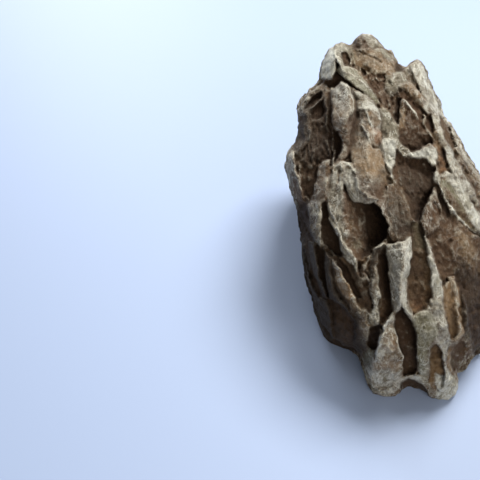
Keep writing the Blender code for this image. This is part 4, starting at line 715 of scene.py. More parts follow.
# mm proud where the painted highlight on raised parts is whole
RAISED_HIGHLIGHT_FULL = 6.0  # mm
WARP_STEPS = 1.1  # how far edges wander
WARP_SIZE = 8.0  # ... and over what length
WARP_LAYERS = (4, 0.6)  # octaves, and how much of each is left in the next
LEDGE = 2.0  # mm
LEDGE_SHARE = 0.6
LEDGE_SWAY = (1.2, 6.0)  # mm, and steps, that the ledges wander
FOLD_APEX = (335, -40)  # place that all the folds of the face run down from
FAN_STEPS = 260.0  # steps across the folds for one radian round the apex
FOLD_SCOOPS = (  # width and length in steps, depth mm, seed
    (12.0, 40.0, 6.0, 10), (5.5, 16.0, 2.2, 20), (2.6, 7.0, 1.0, 25),
)
SCOOP_BOWL = (0.75, 1.5)  # depth of a scoop at its middle, and how steeply it shallows
LIP_SHARE = 0.3  # height of the lip between scoops, as a share of their depth
LIP_WIDTH = 0.16  # ... and its width, as a share of theirs
CHIPS = ((7.0, 0.9, 45), (3.2, 0.5, 46))  # size in steps, mm, seed
CHIP_STRETCH = 1.8
CHIP_TURNS = (40.0, 70.0)  # turn a chance value into the way that a chip leans
DRIFT = (26.0, 6.0, 5.0)  # steps: size of the folds' wandering, how far along and across them
SWAY = (7.0, 1.5, 1.1)  # ... and of a finer wandering
FIBRE = (1.7, 11.0, 1.5)  # width and length in steps, height mm
FIBRE_LEVEL = 0.7  # creased noise above this stands proud
CRUMB = (2.4, 0.35)  # size in steps, height mm
PLAIN_GRAIN = 0.35  # share of fibres and crumbs that a smooth face keeps


def map_axes():
    across = np.arange(MAP_LOW[0], MAP_HIGH[0], 1.0 / MAP_FINE)
    down = np.arange(MAP_LOW[1], MAP_HIGH[1], 1.0 / MAP_FINE)
    return np.meshgrid(across, down, indexing="ij")


def from_stretch(a, b, across, down):
    """Offsets of places from a straight stretch between two others, and where along it, 0..1."""
    (ax, ay), (bx, by) = a, b
    ex, ey = bx - ax, by - ay
    t = np.clip(((across - ax) * ex + (down - ay) * ey) / (ex * ex + ey * ey), 0.0, 1.0)
    return across - ax - t * ex, down - ay - t * ey, t


def inside_outline(places, across, down):
    """Distance in steps inside a closed outline of places, negative outside it."""
    near = np.full(across.shape, 1e9)
    inside = np.zeros(across.shape, bool)
    for (ax, ay), (bx, by) in zip(places, places[1:] + places[:1]):
        x, y, _ = from_stretch((ax, ay), (bx, by), across, down)
        near = np.minimum(near, x ** 2 + y ** 2)
        crosses = (ay > down) != (by > down)
        inside ^= crosses & (across < (bx - ax) * (down - ay) / (by - ay + 1e-9) + ax)
    near = np.sqrt(near)
    return np.where(inside, near, -near)


def beside_line(places, across, down):
    """Distance in steps from a line of places, and how far along it each place is, 0..1."""
    near = np.full(across.shape, 1e9)
    along = np.zeros(across.shape)
    lengths = [math.dist(a, b) for a, b in zip(places, places[1:])]
    done = 0.0
    for a, b, length in zip(places, places[1:], lengths):
        x, y, t = from_stretch(a, b, across, down)
        gap = np.hypot(x, y)
        along = np.where(gap < near, (done + t * length) / sum(lengths), along)
        near = np.minimum(near, gap)
        done += length
    return near, along


def between_corners(corners, across, down):
    """Height in mm between the corners of a face, each with its own height."""
    count = len(corners)
    to_x = [x - across for x, _, _ in corners]
    to_y = [y - down for _, y, _ in corners]
    far = [np.hypot(x, y) + 1e-6 for x, y in zip(to_x, to_y)]
    half_turn = []
    for i in range(count):
        j = (i + 1) % count
        cross = to_x[i] * to_y[j] - to_x[j] * to_y[i]
        dot = to_x[i] * to_x[j] + to_y[i] * to_y[j]
        cross = np.where(np.abs(cross) < 1e-6, 1e-6, cross)
        half_turn.append((far[i] * far[j] - dot) / cross)
    total, weights = 0.0, 0.0
    for i in range(count):
        weight = (half_turn[i - 1] + half_turn[i]) / far[i]
        total = total + weight * corners[i][2]
        weights = weights + weight
    heights = [height for _, _, height in corners]
    weights = np.where(np.abs(weights) < 1e-9, 1e-9, weights)
    return np.clip(total / weights, min(heights) - 1.0, max(heights) + 1.0)


def scattered(across, down, seed):
    """Nearest and next nearest distance to scattered points, and a chance value of each."""
    rng = np.random.default_rng(seed)
    shift_x, shift_y, chance = rng.uniform(-SCATTER, SCATTER, (3, TABLE_SIZE, TABLE_SIZE))
    ix, iy = np.floor(across).astype(np.int64), np.floor(down).astype(np.int64)
    first = np.full(across.shape, 9.0)
    second = np.full(across.shape, 9.0)
    value = np.zeros(across.shape)
    for dx in (-1, 0, 1):
        for dy in (-1, 0, 1):
            cx, cy = ix + dx, iy + dy
            index = (cx % TABLE_SIZE, cy % TABLE_SIZE)
            gap = np.hypot(across - cx - 0.5 - shift_x[index], down - cy - 0.5 - shift_y[index])
            nearer = gap < first
            second = np.where(nearer, first, np.minimum(second, gap))
            value = np.where(nearer, chance[index], value)
            first = np.where(nearer, gap, first)
    return first, second, value


def map_window(places, margin):
    """The part of the map around some places."""
    spans = []
    for values, low in zip(list(zip(*places))[:2], MAP_LOW):
        start = max(int((min(values) - margin - low) * MAP_FINE), 0)
        spans.append(slice(start, int((max(values) + margin - low) * MAP_FINE) + 1))
    return tuple(spans)


class Relief:
    """What stands proud on the face grid, how rough and how bare of faces it is, and its tints."""

    def __init__(self):
        self.across, self.down = map_axes()
        cells = (self.across / WARP_SIZE, self.down / WARP_SIZE)
        self.warped_across = self.across + WARP_STEPS * layered(cells, SEED, *WARP_LAYERS)
        self.warped_down = self.down + WARP_STEPS * layered(cells, SEED + 40, *WARP_LAYERS)
        self.proud = np.zeros(self.across.shape)
        self.rough = np.ones(self.across.shape)
        self.plain = np.ones(self.across.shape)
        self.tints = {tint: np.zeros(self.across.shape) for tint in TINT_NAMES}

    def warped(self, part):
        return self.warped_across[part], self.warped_down[part]

    def lay_tint(self, tint, strength, part, share):
        for other in self.tints.values():
            other[part] *= 1.0 - share
        self.tints[tint][part] += strength * share

    def lay_face(self, tint, strength, broken, swell, *corners):
        part = map_window(corners, FACE_MARGIN)
        inside = inside_outline([corner[:2] for corner in corners], *self.warped(part))
        share = eased(np.clip(inside / FACE_EDGE + 1.0, 0.0, 1.0))
        deepest = max(float(inside.max()), 1.0)
        height = between_corners(corners, *self.warped(part))
        height += SWELL * swell * np.sqrt(np.clip(inside / deepest, 0.0, 1.0))
        for values, wanted in ((self.proud, height), (self.rough, broken), (self.plain, 0.0)):
            values[part] += (wanted - values[part]) * share
        self.lay_tint(tint, strength, part, np.clip(inside / TINT_EDGE + TINT_AT_EDGE, 0.0, 1.0))

    def lay_line(self, width, height, tint, strength, *places):
        part = map_window(places, width + LINE_MARGIN)
        gap, along = beside_line(places, *self.warped(part))
        taper = np.clip(np.minimum(along, 1.0 - along) * LINE_TAPER, 0.0, 1.0) ** LINE_BLUNTNESS
        slim = LINE_SLIMMEST + (1.0 - LINE_SLIMMEST) * taper
        reach = np.clip(1.0 - gap / (width * 0.5 * slim), 0.0, 1.0)
        self.proud[part] += height * taper * np.sqrt(reach)
        self.lay_tint(tint, strength, part, np.clip(taper * reach * LINE_STAIN, 0.0, 1.0))

    def lay_patch(self, tint, strength, soft, *places):
        everywhere = slice(None)
        inside = inside_outline(places, *self.warped(everywhere))
        share = np.clip(inside / soft + 0.5, 0.0, 1.0)
        self.lay_tint(tint, strength, everywhere, strength * share)

    def finished(self):
        """Depth in mm (minus stands proud), and the share of each tint."""
        proud = np.where(self.proud < 0.0, HOLLOWNESS, BOLDNESS) * self.proud
        sway, size = LEDGE_SWAY
        sway = sway * layered((self.across / size, self.down / size), SEED + 50, 2)
        proud += ledges(proud + sway) * self.rough
        # painted shade by how far a place is sunk
        self.tints["sunk"] = np.clip(-proud / SUNK_SHADE_FULL, 0.0, 1.0)
        # painted highlight by how far a place stands proud
        self.tints["raised_highlight"] = np.clip(proud / RAISED_HIGHLIGHT_FULL, 0.0, 1.0)
        folds = fold_texture(self.across, self.down, self.rough, self.plain)
        return folds - proud, self.tints


def relief_map():
    relief = Relief()
    for lay, table in ((relief.lay_face, FACES), (relief.lay_line, LINES),
                       (relief.lay_patch, PATCHES)):
        for entry in table.values():
            lay(*entry)
    return relief.finished()


def ledges(height):
    """What turns a slope into a flight of small worn steps, in mm."""
    part = height / LEDGE - np.floor(height / LEDGE)
    return LEDGE * LEDGE_SHARE * (part ** 3 / (part ** 3 + (1.0 - part) ** 3) - part)


def fold_texture(across, down, rough, plain):
    """Long scoops side by side down the folds, with sharp crests between them, in mm."""
    drift = layered((across / DRIFT[0], down / DRIFT[0]), SEED + 5, 3)
    sway = layered((across / SWAY[0], down / SWAY[0]), SEED + 8, 3)
    dx, dy = across - FOLD_APEX[0], down - FOLD_APEX[1]
    reach = np.hypot(dx, dy) + DRIFT[1] * drift + SWAY[1] * sway
    fan = np.arctan2(dx, dy) * FAN_STEPS + DRIFT[2] * drift + SWAY[2] * sway
    bowl, shallow = SCOOP_BOWL
    total = 0.0
    for (wide, long, deep, seed), share in zip(FOLD_SCOOPS, (plain, rough, rough)):
        near, other, chance = scattered(fan / wide, reach / long, SEED + seed)
        scoop_depth = deep * (0.5 + chance) * (bowl - shallow * near * near)
        lips = LIP_SHARE * deep * np.clip(1.0 - (other - near) / LIP_WIDTH, 0.0, 1.0)
        total = total + (scoop_depth - lips) * share
    turn, other_turn = CHIP_TURNS
    for size, amount, seed in CHIPS:
        chance = scattered(fan / size, reach / (size * CHIP_STRETCH), SEED + seed)[2]
        lean = np.sin(turn * chance) * fan / size + np.cos(other_turn * chance) * reach / size
        total = total + amount * (lean - np.round(lean)) * rough
    wide, long, high = FIBRE
    fibres = layered((fan / wide, reach / long), SEED + 35, 2, creased=True)
    size, amount = CRUMB
    crumbs = layered((across / size, down / size), SEED + 30, 3, 0.7)
    grain = PLAIN_GRAIN + (1.0 - PLAIN_GRAIN) * rough
    return total + (amount * crumbs + high * (FIBRE_LEVEL - fibres)) * grain


def blended(values, cells, parts):
    """Values read between the samples of a grid: its cells, and how far into each, by axis."""
    axis = len(parts) - 1
    if axis < 0:
        return values[cells]
    beyond = cells[:axis] + (cells[axis] + 1,) + cells[axis + 1:]
    return (blended(values, cells, parts[:-1]) * (1 - parts[-1])
            + blended(values, beyond, parts[:-1]) * parts[-1])


def map_sample(values, across, down):
    x = np.clip((across - MAP_LOW[0]) * MAP_FINE, 0.0, values.shape[0] - LAST_SAMPLE)
    y = np.clip((down - MAP_LOW[1]) * MAP_FINE, 0.0, values.shape[1] - LAST_SAMPLE)
    i, j = x.astype(np.int64), y.astype(np.int64)
    return blended(values, (i, j), (x - i, y - j))


# ---- the field ----
MARGIN = 7.0  # mm of room around the body in the grid of cubes
BAND = 14.0  # mm, the field is true this near the skin


class Field:
    """Distances on a grid of cubes."""

    def __init__(self, body):
        corners = np.array([v.co for v in body.data.vertices])
        self.low = np.floor((corners.min(axis=0) - MARGIN) / VOXEL) * VOXEL
        self.count = np.ceil((corners.max(axis=0) + MARGIN - self.low) / VOXEL).astype(int) + 1
        body.data.calc_loop_triangles()
        triangles = np.array([t.vertices for t in body.data.loop_triangles], np.uint32)
        points = ((corners - self.low) / VOXEL).astype(np.float32)
        grid = openvdb.FloatGrid.createLevelSetFromPolygons(
            points, triangles=triangles, halfWidth=BAND / VOXEL)
        self.values = np.zeros(self.count, np.float32)
        grid.copyToArray(self.values, ijk=(0, 0, 0))
        self.values *= VOXEL

    def axis(self, k):
        return self.low[k] + VOXEL * np.arange(self.count[k])

    def points(self, part):
        """Centres of the cubes in a tuple of slices."""
        axes = [self.axis(k)[part[k]] for k in range(3)]
        return np.stack(np.meshgrid(*axes, indexing="ij"), axis=-1)

    def near(self, low, high):
        """The slices that span a box."""
        start = np.clip(np.floor((low - self.low) / VOXEL).astype(int), 0, self.count - 1)
        stop = np.clip(np.ceil((high - self.low) / VOXEL).astype(int) + 1, 1, self.count)
        return tuple(slice(a, b) for a, b in zip(start, stop))

    def sample(self, points, values=None):
        """The field, or other values on the same cubes, at any points."""
        cell = np.clip((points - self.low) / VOXEL, 0.0, self.count - LAST_SAMPLE)
        low = cell.astype(np.int64)
        part = (cell - low).astype(np.float32)
        return blended(self.values if values is None else values,
                       tuple(low[..., k] for k in range(3)), tuple(part[..., k] for k in range(3)))


RELIEF_FULL = 18.0  # mm behind the outline's own lift where relief is still whole
RELIEF_NONE = 55.0  # ... and where it has died away


def press_face(field, depth):
    """Moves the skin along the lines of sight by the relief."""
    pressed = np.empty_like(field.values)
    for i in range(field.count[0]):
        part = (slice(i, i + 1), slice(None), slice(None))
        points = field.points(part)[0].astype(np.float32)
        across, down, lift = grid_places(points)
        edge = lift_at(EDGE_LIFT, down)
        fade = np.clip((lift - edge + RELIEF_NONE) / (RELIEF_NONE - RELIEF_FULL), 0.0, 1.0)
        sight = EYE - points
        sight /= np.linalg.norm(sight, axis=-1, keepdims=True)
        shift = map_sample(depth, across, down) * eased(fade)
        pressed[i] = field.sample(points + sight * shift[..., None])
    field.values = pressed


# ---- hollows strewn over the sides that the face grid doesn't reach ----
STREWN = (  # count, length, width, depth: each a range in mm
    (90, (24.0, 52.0), (9.0, 17.0), (6.0, 12.0)),
    (260, (12.0, 28.0), (4.0, 8.0), (2.0, 4.5)),
)
TRIES = 10  # places tried for each hollow wanted
HOLLOW_TURN = 0.2  # radians, how unevenly the hollows are turned
HOLLOW_LEAN = 0.5  # how far at most a hollow leans over as it deepens
HOLLOW_LOWEST = 2.5  # mm, no hollow starts lower, where the stone rests
HOLLOW_ROOM = 0.35  # share of its width kept clear round a hollow, beside the next one's width
HOLLOW_BLEND = 1.2  # mm
HOLLOW_REACH = (3.0, 2.0)  # mm of field redone above and below a hollow, and all round it
HOLLOW_ENDS = (0.8, 0.6)  # powers that draw a hollow's width and depth in to its ends
SEEN_FACING = 0.1  # skin that faces the eye by less than this doesn't count as seen
SEEN_CLEAR = 0.5  # mm, room between a spot and where its line of sight starts
STONE_LENGTH = Vector((0.12, -1.0, -0.42))  # down the length of the stone
STONE_DROP = Vector((0.2, 0.0, -1.0))  # ... and down its blunt ends
END_ON = 0.25  # skin that has less of the length than this is a blunt end


def strew_hollows(field, body):
    rng = random.Random(SEED)
    polygons = body.data.polygons
    tree = BVHTree.FromPolygons([v.co for v in body.data.vertices],
                                [tuple(p.vertices) for p in polygons])
    for count, lengths, widths, depths in STREWN:
        taken = []
        for _ in range(count * TRIES):
            if len(taken) >= count:
                break
            spot = polygons[rng.randrange(len(polygons))]
            length, width = rng.uniform(*lengths), rng.uniform(*widths)
            deep, turn = rng.uniform(*depths), rng.gauss(0.0, HOLLOW_TURN)
            lean = rng.uniform(-HOLLOW_LEAN, HOLLOW_LEAN)
            centre, normal = Vector(spot.center), Vector(spot.normal)
            if seen_by_eye(tree, centre, normal) or centre.z < HOLLOW_LOWEST:
                continue
            if any((centre - other).length < reach + width for other, reach in taken):
                continue
            along = Matrix.Rotation(turn, 3, normal) @ fold_direction(normal)
            scoop(field, centre, along, normal, length / 2.0, width / 2.0, deep, lean)
            taken.append((centre, width * HOLLOW_ROOM))


def seen_by_eye(tree, centre, normal):
    sight = (Vector(EYE) - centre).normalized()
    start = centre + normal * SEEN_CLEAR
    return normal.dot(sight) > SEEN_FACING and tree.ray_cast(start, sight)[0] is None


def fold_direction(normal):
    """Along the skin, down the length of the stone."""
    along = STONE_LENGTH - normal * STONE_LENGTH.dot(normal)
    if along.length < END_ON:
        along = STONE_DROP - normal * STONE_DROP.dot(normal)
    return along.normalized()


def scoop(field, centre, along, outward, half, wide, deep, lean):
    """Takes one almond hollow out of the field."""
    x_axis = np.array(along.normalized())
    z_axis = np.array(outward) - x_axis * float(np.dot(outward, x_axis))
    z_axis /= np.linalg.norm(z_axis)
    y_axis = np.cross(z_axis, x_axis)
    middle = np.array(centre)
    reach = np.abs(x_axis) * half + np.abs(y_axis) * (wide + abs(lean) * deep)
    reach = reach + np.abs(z_axis) * (deep + HOLLOW_REACH[0]) + HOLLOW_REACH[1]
    part = field.near(middle - reach, middle + reach)
    offset = field.points(part) - middle
    x, y, z = offset @ x_axis / half, offset @ y_axis, offset @ z_axis
    swell = np.clip(1.0 - x * x, 1e-4, 1.0)
    z = np.minimum(z, 0.0)
    y = y + lean * z
    w, h = wide * swell ** HOLLOW_ENDS[0], deep * swell ** HOLLOW_ENDS[1]
    hollow = (np.sqrt((y / w) ** 2 + (z / h) ** 2) - 1.0) * np.minimum(w, h)
    field.values[part] = smooth_max(field.values[part], -hollow, HOLLOW_BLEND)


def smooth_max(a, b, blend):
    h = np.clip(0.5 - 0.5 * (b - a) / blend, 0.0, 1.0)
    return (b * (1.0 - h) + a * h + blend * h * (1.0 - h)).astype(np.float32)


GRAIN_WAY = np.array((0.12, -0.9, -0.42))  # down the length of the stone
GRAIN_SIZE = (3.0, 8.0)  # mm, across it and along it
GRAIN_HEIGHT = 0.55  # mm
GRAIN_SLANT = 0.4  # how far it leans back as it rises
GRAIN_REACH = 3.0  # mm from the skin


def crumble(field):
    """Small uneven grain all over, stretched along the length of the stone."""
    band = np.abs(field.values) < GRAIN_REACH
    points = field.low + np.argwhere(band) * VOXEL
    wide, long = GRAIN_SIZE
    cells = (points[:, 0] / wide, points @ GRAIN_WAY / long,
             (points[:, 2] + points[:, 1] * GRAIN_SLANT) / wide)
    grain = layered(cells, SEED + 60, 3, 0.6)
    field.values[band] += (GRAIN_HEIGHT * grain).astype(np.float32)


def rest_on_ground(field):
    field.values[:] = np.maximum(field.values, -field.axis(2)[None, None, :].astype(np.float32))


# ---- skin ----
def skin(field):
    grid = openvdb.FloatGrid()
    grid.background = BAND
    grid.copyFromArray(np.clip(field.values, -2.0 * VOXEL, 2.0 * VOXEL))
    points, quads = grid.convertToQuads(isovalue=0.0)
    points = np.asarray(points) * VOXEL + field.low
    mesh = bpy.data.meshes.new(PIECE)
    mesh.from_pydata(points.tolist(), [], quads.tolist())
    return linked(PIECE, mesh)


def connected(bm):
    """The separate bodies of a mesh, as lists of vertices."""
    seen, bodies = set(), []
    for vert in bm.verts:
        if vert in seen:
            continue
        body, stack = [], [vert]
        seen.add(vert)
        while stack:
            here = stack.pop()
            body.append(here)
            for edge in here.link_edges:
                other = edge.other_vert(here)
                if other not in seen:
                    seen.add(other)
                    stack.append(other)
        bodies.append(body)
    return bodies


def drop_crumbs(piece):
    """Keeps only the largest body of a mesh."""
    bm = bmesh.new()
    bm.from_mesh(piece.data)
    bodies = sorted(connected(bm), key=len)
    crumbs = [vert for body in bodies[:-1] for vert in body]
    bmesh.ops.delete(bm, geom=crumbs, context="VERTS")
    bmesh.ops.recalc_face_normals(bm, faces=bm.faces[:])
    bm.to_mesh(piece.data)
    bm.free()


def thin_out(stone):
    triangles = sum(len(p.vertices) - 2 for p in stone.data.polygons)
    if triangles > TRIANGLES:
        fewer = stone.modifiers.new("thin", "DECIMATE")
        fewer.ratio = TRIANGLES / triangles
        baked(stone)


def fit_to_solid(stone):
    """Scales and moves the finished stone on to the solid's own box, and returns the matrix."""
    corners = np.array([v.co for v in stone.data.vertices])
    low, high = corners.min(axis=0), corners.max(axis=0)
    solid_low, solid_high = (np.array(corner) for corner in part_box(NODE))
    scale = (solid_high - solid_low) / (high - low)
    matrix = Matrix.Diagonal((*scale, 1.0))
    matrix.translation = (solid_low + solid_high) / 2 - (low + high) / 2 * scale
    stone.data.transform(matrix)
    return matrix


# ---- what the colours go by ----
CREST_REACH = 1.8  # mm
PIT_REACH = 6.0  # mm
# a mark starts at the first number, and is whole once the second is added to it
CREST = (0.5, -0.22)  # solidity within the short reach
CREASE = (0.53, 0.16)
PIT = (0.5, 0.3)  # solidity within the long reach
OPEN = (0.55, -0.3)
ON_FACE = (-24.0, 12.0)  # mm past the outline's own lift
HIGHLIGHT_WAY = np.array((-0.15, 0.62, 0.77))  # painted highlight is strongest on skin facing this way, up and towards the back


def rise(values, start, more):
    return np.clip((values - start) / more, 0.0, 1.0)


def box_blur(values, reach):
    for axis in range(3):
        padded = np.concatenate([np.repeat(np.take(values, [0], axis), reach + 1, axis), values,
                                 np.repeat(np.take(values, [-1], axis), reach, axis)], axis)
        summed = np.cumsum(padded, axis, dtype=np.float64)
        count, whole = values.shape[axis], 2 * reach + 1
        top = np.take(summed, range(whole, whole + count), axis)
        bottom = np.take(summed, range(count), axis)
        values = ((top - bottom) / whole).astype(np.float32)
    return values


def solidity(field, reach, points):
    """How much of the room within `reach` of each point is stone: 0.5 on a flat, more in a pit."""
    cubes = max(1, int(round(reach / VOXEL)))
    inside = np.clip(0.5 - field.values / VOXEL, 0.0, 1.0)
    return field.sample(points, box_blur(box_blur(inside, cubes), cubes))


def by_vertex(mesh, name):
    values = np.empty(len(mesh.vertices) * 3, np.float32)
    mesh.vertices.foreach_get(name, values)
    return values.reshape(-1, 3)


def colour_marks(stone, field, tints):
    """Writes what the material goes by on the mesh, while it still lies in the field, in mm."""
    points = by_vertex(stone.data, "co")
    fine, broad = (solidity(field, reach, points) for reach in (CREST_REACH, PIT_REACH))
    across, down, lift = grid_places(points)
    on_face = rise(lift - lift_at(EDGE_LIFT, down), *ON_FACE)
    # these marks place crest wear that is partly painted highlight, painted shade in creases and pits,
    # and a painted highlight on skin that faces the lights
    marks = {
        "crest": rise(fine, *CREST), "crease_shade": rise(fine, *CREASE),
        "pit_shade": rise(broad, *PIT), "open": rise(broad, *OPEN),
        "facing_light_highlight": np.clip(by_vertex(stone.data, "normal") @ HIGHLIGHT_WAY, 0.0, 1.0),
    }
    for tint, values in tints.items():
        marks[tint] = map_sample(values, across, down) * on_face
    for name, values in marks.items():
        layer = stone.data.attributes.new(name, "FLOAT", "POINT")
        layer.data.foreach_set("value", np.ascontiguousarray(values, np.float32))


# ---- stone material ----
STONE_COLOURS = {  # sRGB, 0..255
    "ground": (104, 82, 58),
    "ground_dark": (68, 51, 35),
    "pale": (220, 220, 209),
    "grey": (121, 115, 98),
    "tan": (132, 106, 74),
    "olive": (108, 103, 78),
    "brown": (84, 61, 41),
    "rust": (136, 92, 56),
    "ochre": (128, 106, 70),
    "pale_low": (144, 139, 121),
    # painted shade in fine creases
    "crease_shade": (44, 32, 21),
    # dark cracks and seams, and painted shade in crevices, gaps and shaded sides
    "dark": (42, 31, 21),
    # painted shade in pits and sunk faces
    "pit_shade": (66, 48, 32),
    # painted highlight on skin facing the lights, and pale wear on crests that is partly painted
    # highlight
    "crest": (192, 188, 172),
}
GRAINS = {  # size mm, detail, roughness, stretch, distortion
    "blotches": (15.0, 5.0, 0.65, (1.0, 1.0, 1.0), 0.0),
    "mottle": (4.2, 6.0, 0.72, (1.0, 1.0, 1.0), 0.0),
    "other_mottle": (6.5, 6.0, 0.72, (1.0, 0.6, 0.8), 0.6),
    "speckle": (1.3, 4.0, 0.75, (1.0, 1.0, 1.0), 0.0),
    "streaks": (2.6, 5.0, 0.65, (1.0, 0.3, 0.5), 0.0),
    "veins": (9.0, 6.0, 0.6, (1.0, 0.45, 0.6), 1.0),
}
SPANS = {  # where a colour starts, and where it is whole
    "ground": (0.4, 0.6), "grey": (0.52, 0.66), "ochre": (0.54, 0.7), "pale": (0.4, 0.6),
    "ragged": (0.52, 0.72), "bare": (1.0, 0.2), "not_dark": (0.9, 0.2), "raised_highlight": (0.36, 0.62),
    "sunk": (0.1, 0.9), "dust": (0.47, 0.62), "dust_patches": (0.42, 0.6),
    "facing_up": (0.62, 0.95), "facing_light_highlight": (0.42, 0.6), "wear_and_highlight": (0.42, 0.56),
    "wear_and_highlight_patches": (0.38, 0.58), "vein": (0.02, 0.0), "pit_shade": (0.05, 0.8),
    "crease_shade": (0.3, 0.55),
}
SHARES = {  # how much of a colour there is where it is whole
    "grey": 0.45, "ochre": 0.5, "sunk": 0.75, "wear_and_highlight": 0.75, "vein": 0.6, "pit_shade": 0.72,
    "crease_shade": 0.6,
}
SLOPES = {  # what is made of a value: so much of it, and so much more
    "raised_highlight": (0.3, 0.1), "dust": (0.4, 0.08), "facing_light_highlight": (0.45, 0.1),
    "speckle_shade": (0.76, 0.46), "streak_shade": (0.9, 0.55), "roughness": (0.35, 0.68),
}
RAGGEDNESS = 0.42  # how far a tint's own share wins over the noise that breaks it
SUNK_SHADE_STREAKS = 0.5  # how far streaks break up the painted shade in sunk faces
PIT_STREAKS = 0.6  # ... and in pits
BUMPS = {"streaks": 1.3, "speckle": 0.6, "mottle": 0.9}  # their parts in the bump
BUMP_STRENGTH = 0.95
BUMP_HEIGHT = 0.0012  # m
SPECULAR = 0.3


def linear(colour):
    channels = [c / 255.0 for c in colour]
    return tuple(c / 12.92 if c <= 0.04045 else ((c + 0.055) / 1.055) ** 2.4
                 for c in channels) + (1.0,)


def feed(tree, node, inputs):
    """Gives each input of a node a value, or another node's output."""
    for name, value in inputs.items():
        if isinstance(value, bpy.types.NodeSocket):
            tree.links.new(value, node.inputs[name])
        else:
            node.inputs[name].default_value = value


class Recipe:
    """Short hands for building a node tree."""

    def __init__(self, material):
        self.tree = material.node_tree
        self.object_coords = self.new("ShaderNodeTexCoord", {}).outputs["Object"]

    def new(self, kind, inputs, **settings):
        node = self.tree.nodes.new(kind)
        for key, value in settings.items():
            setattr(node, key, value)
        feed(self.tree, node, inputs)
        return node

    def mark(self, name):
        return self.new("ShaderNodeAttribute", {}, attribute_name=name).outputs["Fac"]

    def noise(self, size_mm, detail, rough, stretch, distort):
        mapping = self.new("ShaderNodeMapping", {"Vector": self.object_coords, "Scale": stretch})
        node = self.new("ShaderNodeTexNoise", {
            "Vector": mapping.outputs["Vector"], "Scale": 1000.0 / size_mm, "Detail": detail,
            "Roughness": rough, "Distortion": distort})
        return node.outputs["Fac"]

    def math(self, operation, first, *others, clamp=False):
        result = first
        for other in others or (0.0,):
            node = self.new("ShaderNodeMath", {0: result, 1: other}, operation=operation,
                            use_clamp=clamp)
            result = node.outputs[0]
        return result

    def times(self, *values):
        return self.math("MULTIPLY", *values)

    def plus(self, *values):
        return self.math("ADD", *values)

    def around(self, noise, strength):
        """A noise swinging around 0."""
        return self.times(self.math("SUBTRACT", noise, 0.5), strength)

    def ramp(self, value, name):
        low, high = SPANS[name]
        node = self.new("ShaderNodeMapRange", {"Value": value, "From Min": low, "From Max": high},
                        clamp=True)
        return node.outputs["Result"]

    def slope(self, value, name):
        much, more = SLOPES[name]
        return self.plus(self.times(value, much), more)

    def mix(self, share, a, b, blend="MIX"):
        node = self.new("ShaderNodeMix", {}, data_type="RGBA", blend_type=blend)
        feed(self.tree, node, {"Factor": share, "A": a, "B": b})
        return node.outputs["Result"]


def patchy(make, share, noise):
    """A share broken up by noise, so that one colour runs raggedly into another."""
    lifted = make.plus(noise, make.times(share, RAGGEDNESS))
    return make.times(share, make.ramp(lifted, "ragged"))


def ground_coats(make, grain, colours):
    """The mottled ground colour of the stone, under its tints by place."""
    colour = make.mix(make.ramp(grain.blotches, "ground"), colours["ground_dark"],
                      colours["ground"])
    for name, noise in (("grey", grain.mottle), ("ochre", grain.other_mottle)):
        colour = make.mix(make.times(make.ramp(noise, name), SHARES[name]), colour,
                          colours[name])
    pale = make.mix(make.ramp(grain.other_mottle, "pale"), colours["pale_low"], colours["pale"])
    breaks = (grain.mottle, grain.other_mottle, grain.blotches)
    for count, tint in enumerate(TINT_NAMES):
        share = patchy(make, make.mark(tint), breaks[count % len(breaks)])
        colour = make.mix(share, colour, pale if tint == "pale" else colours[tint])
    return colour


def wear_dust_and_light_coats(make, grain):
    """Painted highlight on raised parts, painted shade in sunk faces, dust, painted highlight on skin
    facing the lights, crest wear partly painted as highlight, veins, and painted shade in pits and
    creases, in the order they lie: the share of each, and its colour.
    """
    opened = make.mark("open")
    bare = make.ramp(make.plus(*(make.mark(tint) for tint in ("dark", "brown", "tan"))), "bare")
    # keeps crest wear and its painted highlight off the dark tint
    not_dark = make.ramp(make.mark("dark"), "not_dark")
    # painted highlight on raised parts
    raised_highlight = make.times(make.mark("raised_highlight"), make.ramp(grain.mottle, "raised_highlight"),
                        make.slope(bare, "raised_highlight"))
    # painted shade in sunk faces
    sunk = make.ramp(make.plus(make.mark("sunk"), make.around(grain.streaks, SUNK_SHADE_STREAKS)),
                     "sunk")
    dust = make.times(make.ramp(grain.speckle, "dust"),
                      make.ramp(grain.other_mottle, "dust_patches"),
                      make.slope(opened, "dust"), bare)
    # painted highlight on skin that faces the lights
    facing_light_highlight = make.times(make.ramp(make.mark("facing_light_highlight"), "facing_up"),
                       make.ramp(grain.mottle, "facing_light_highlight"), make.slope(bare, "facing_light_highlight"))
    # pale wear on crests, partly painted highlight
    wear_and_highlight = make.times(make.mark("crest"), make.ramp(grain.mottle, "wear_and_highlight"),
                      make.ramp(grain.blotches, "wear_and_highlight_patches"), not_dark)
    middle = make.math("ABSOLUTE", make.math("SUBTRACT", grain.veins, 0.5))
    veined = make.times(make.plus(opened, make.mark("pale"), make.mark("grey")), not_dark)
    vein = make.times(make.ramp(middle, "vein"),
                      make.math("MULTIPLY", veined, SHARES["vein"], clamp=True))
    # painted shade in pits
    pit_shade = make.ramp(make.plus(make.mark("pit_shade"), make.around(grain.streaks, PIT_STREAKS)), "pit_shade")
    # painted shade in creases
    crease_shade = make.times(make.mark("crease_shade"), make.ramp(grain.streaks, "crease_shade"))
    return (
        (raised_highlight, "pale"), (make.times(sunk, SHARES["sunk"]), "pit_shade"), (dust, "pale"),
        (facing_light_highlight, "crest"), (make.times(wear_and_highlight, SHARES["wear_and_highlight"]), "crest"), (vein, "pale"),
        (make.times(pit_shade, SHARES["pit_shade"]), "pit_shade"), (make.times(crease_shade, SHARES["crease_shade"]), "crease_shade"),
    )


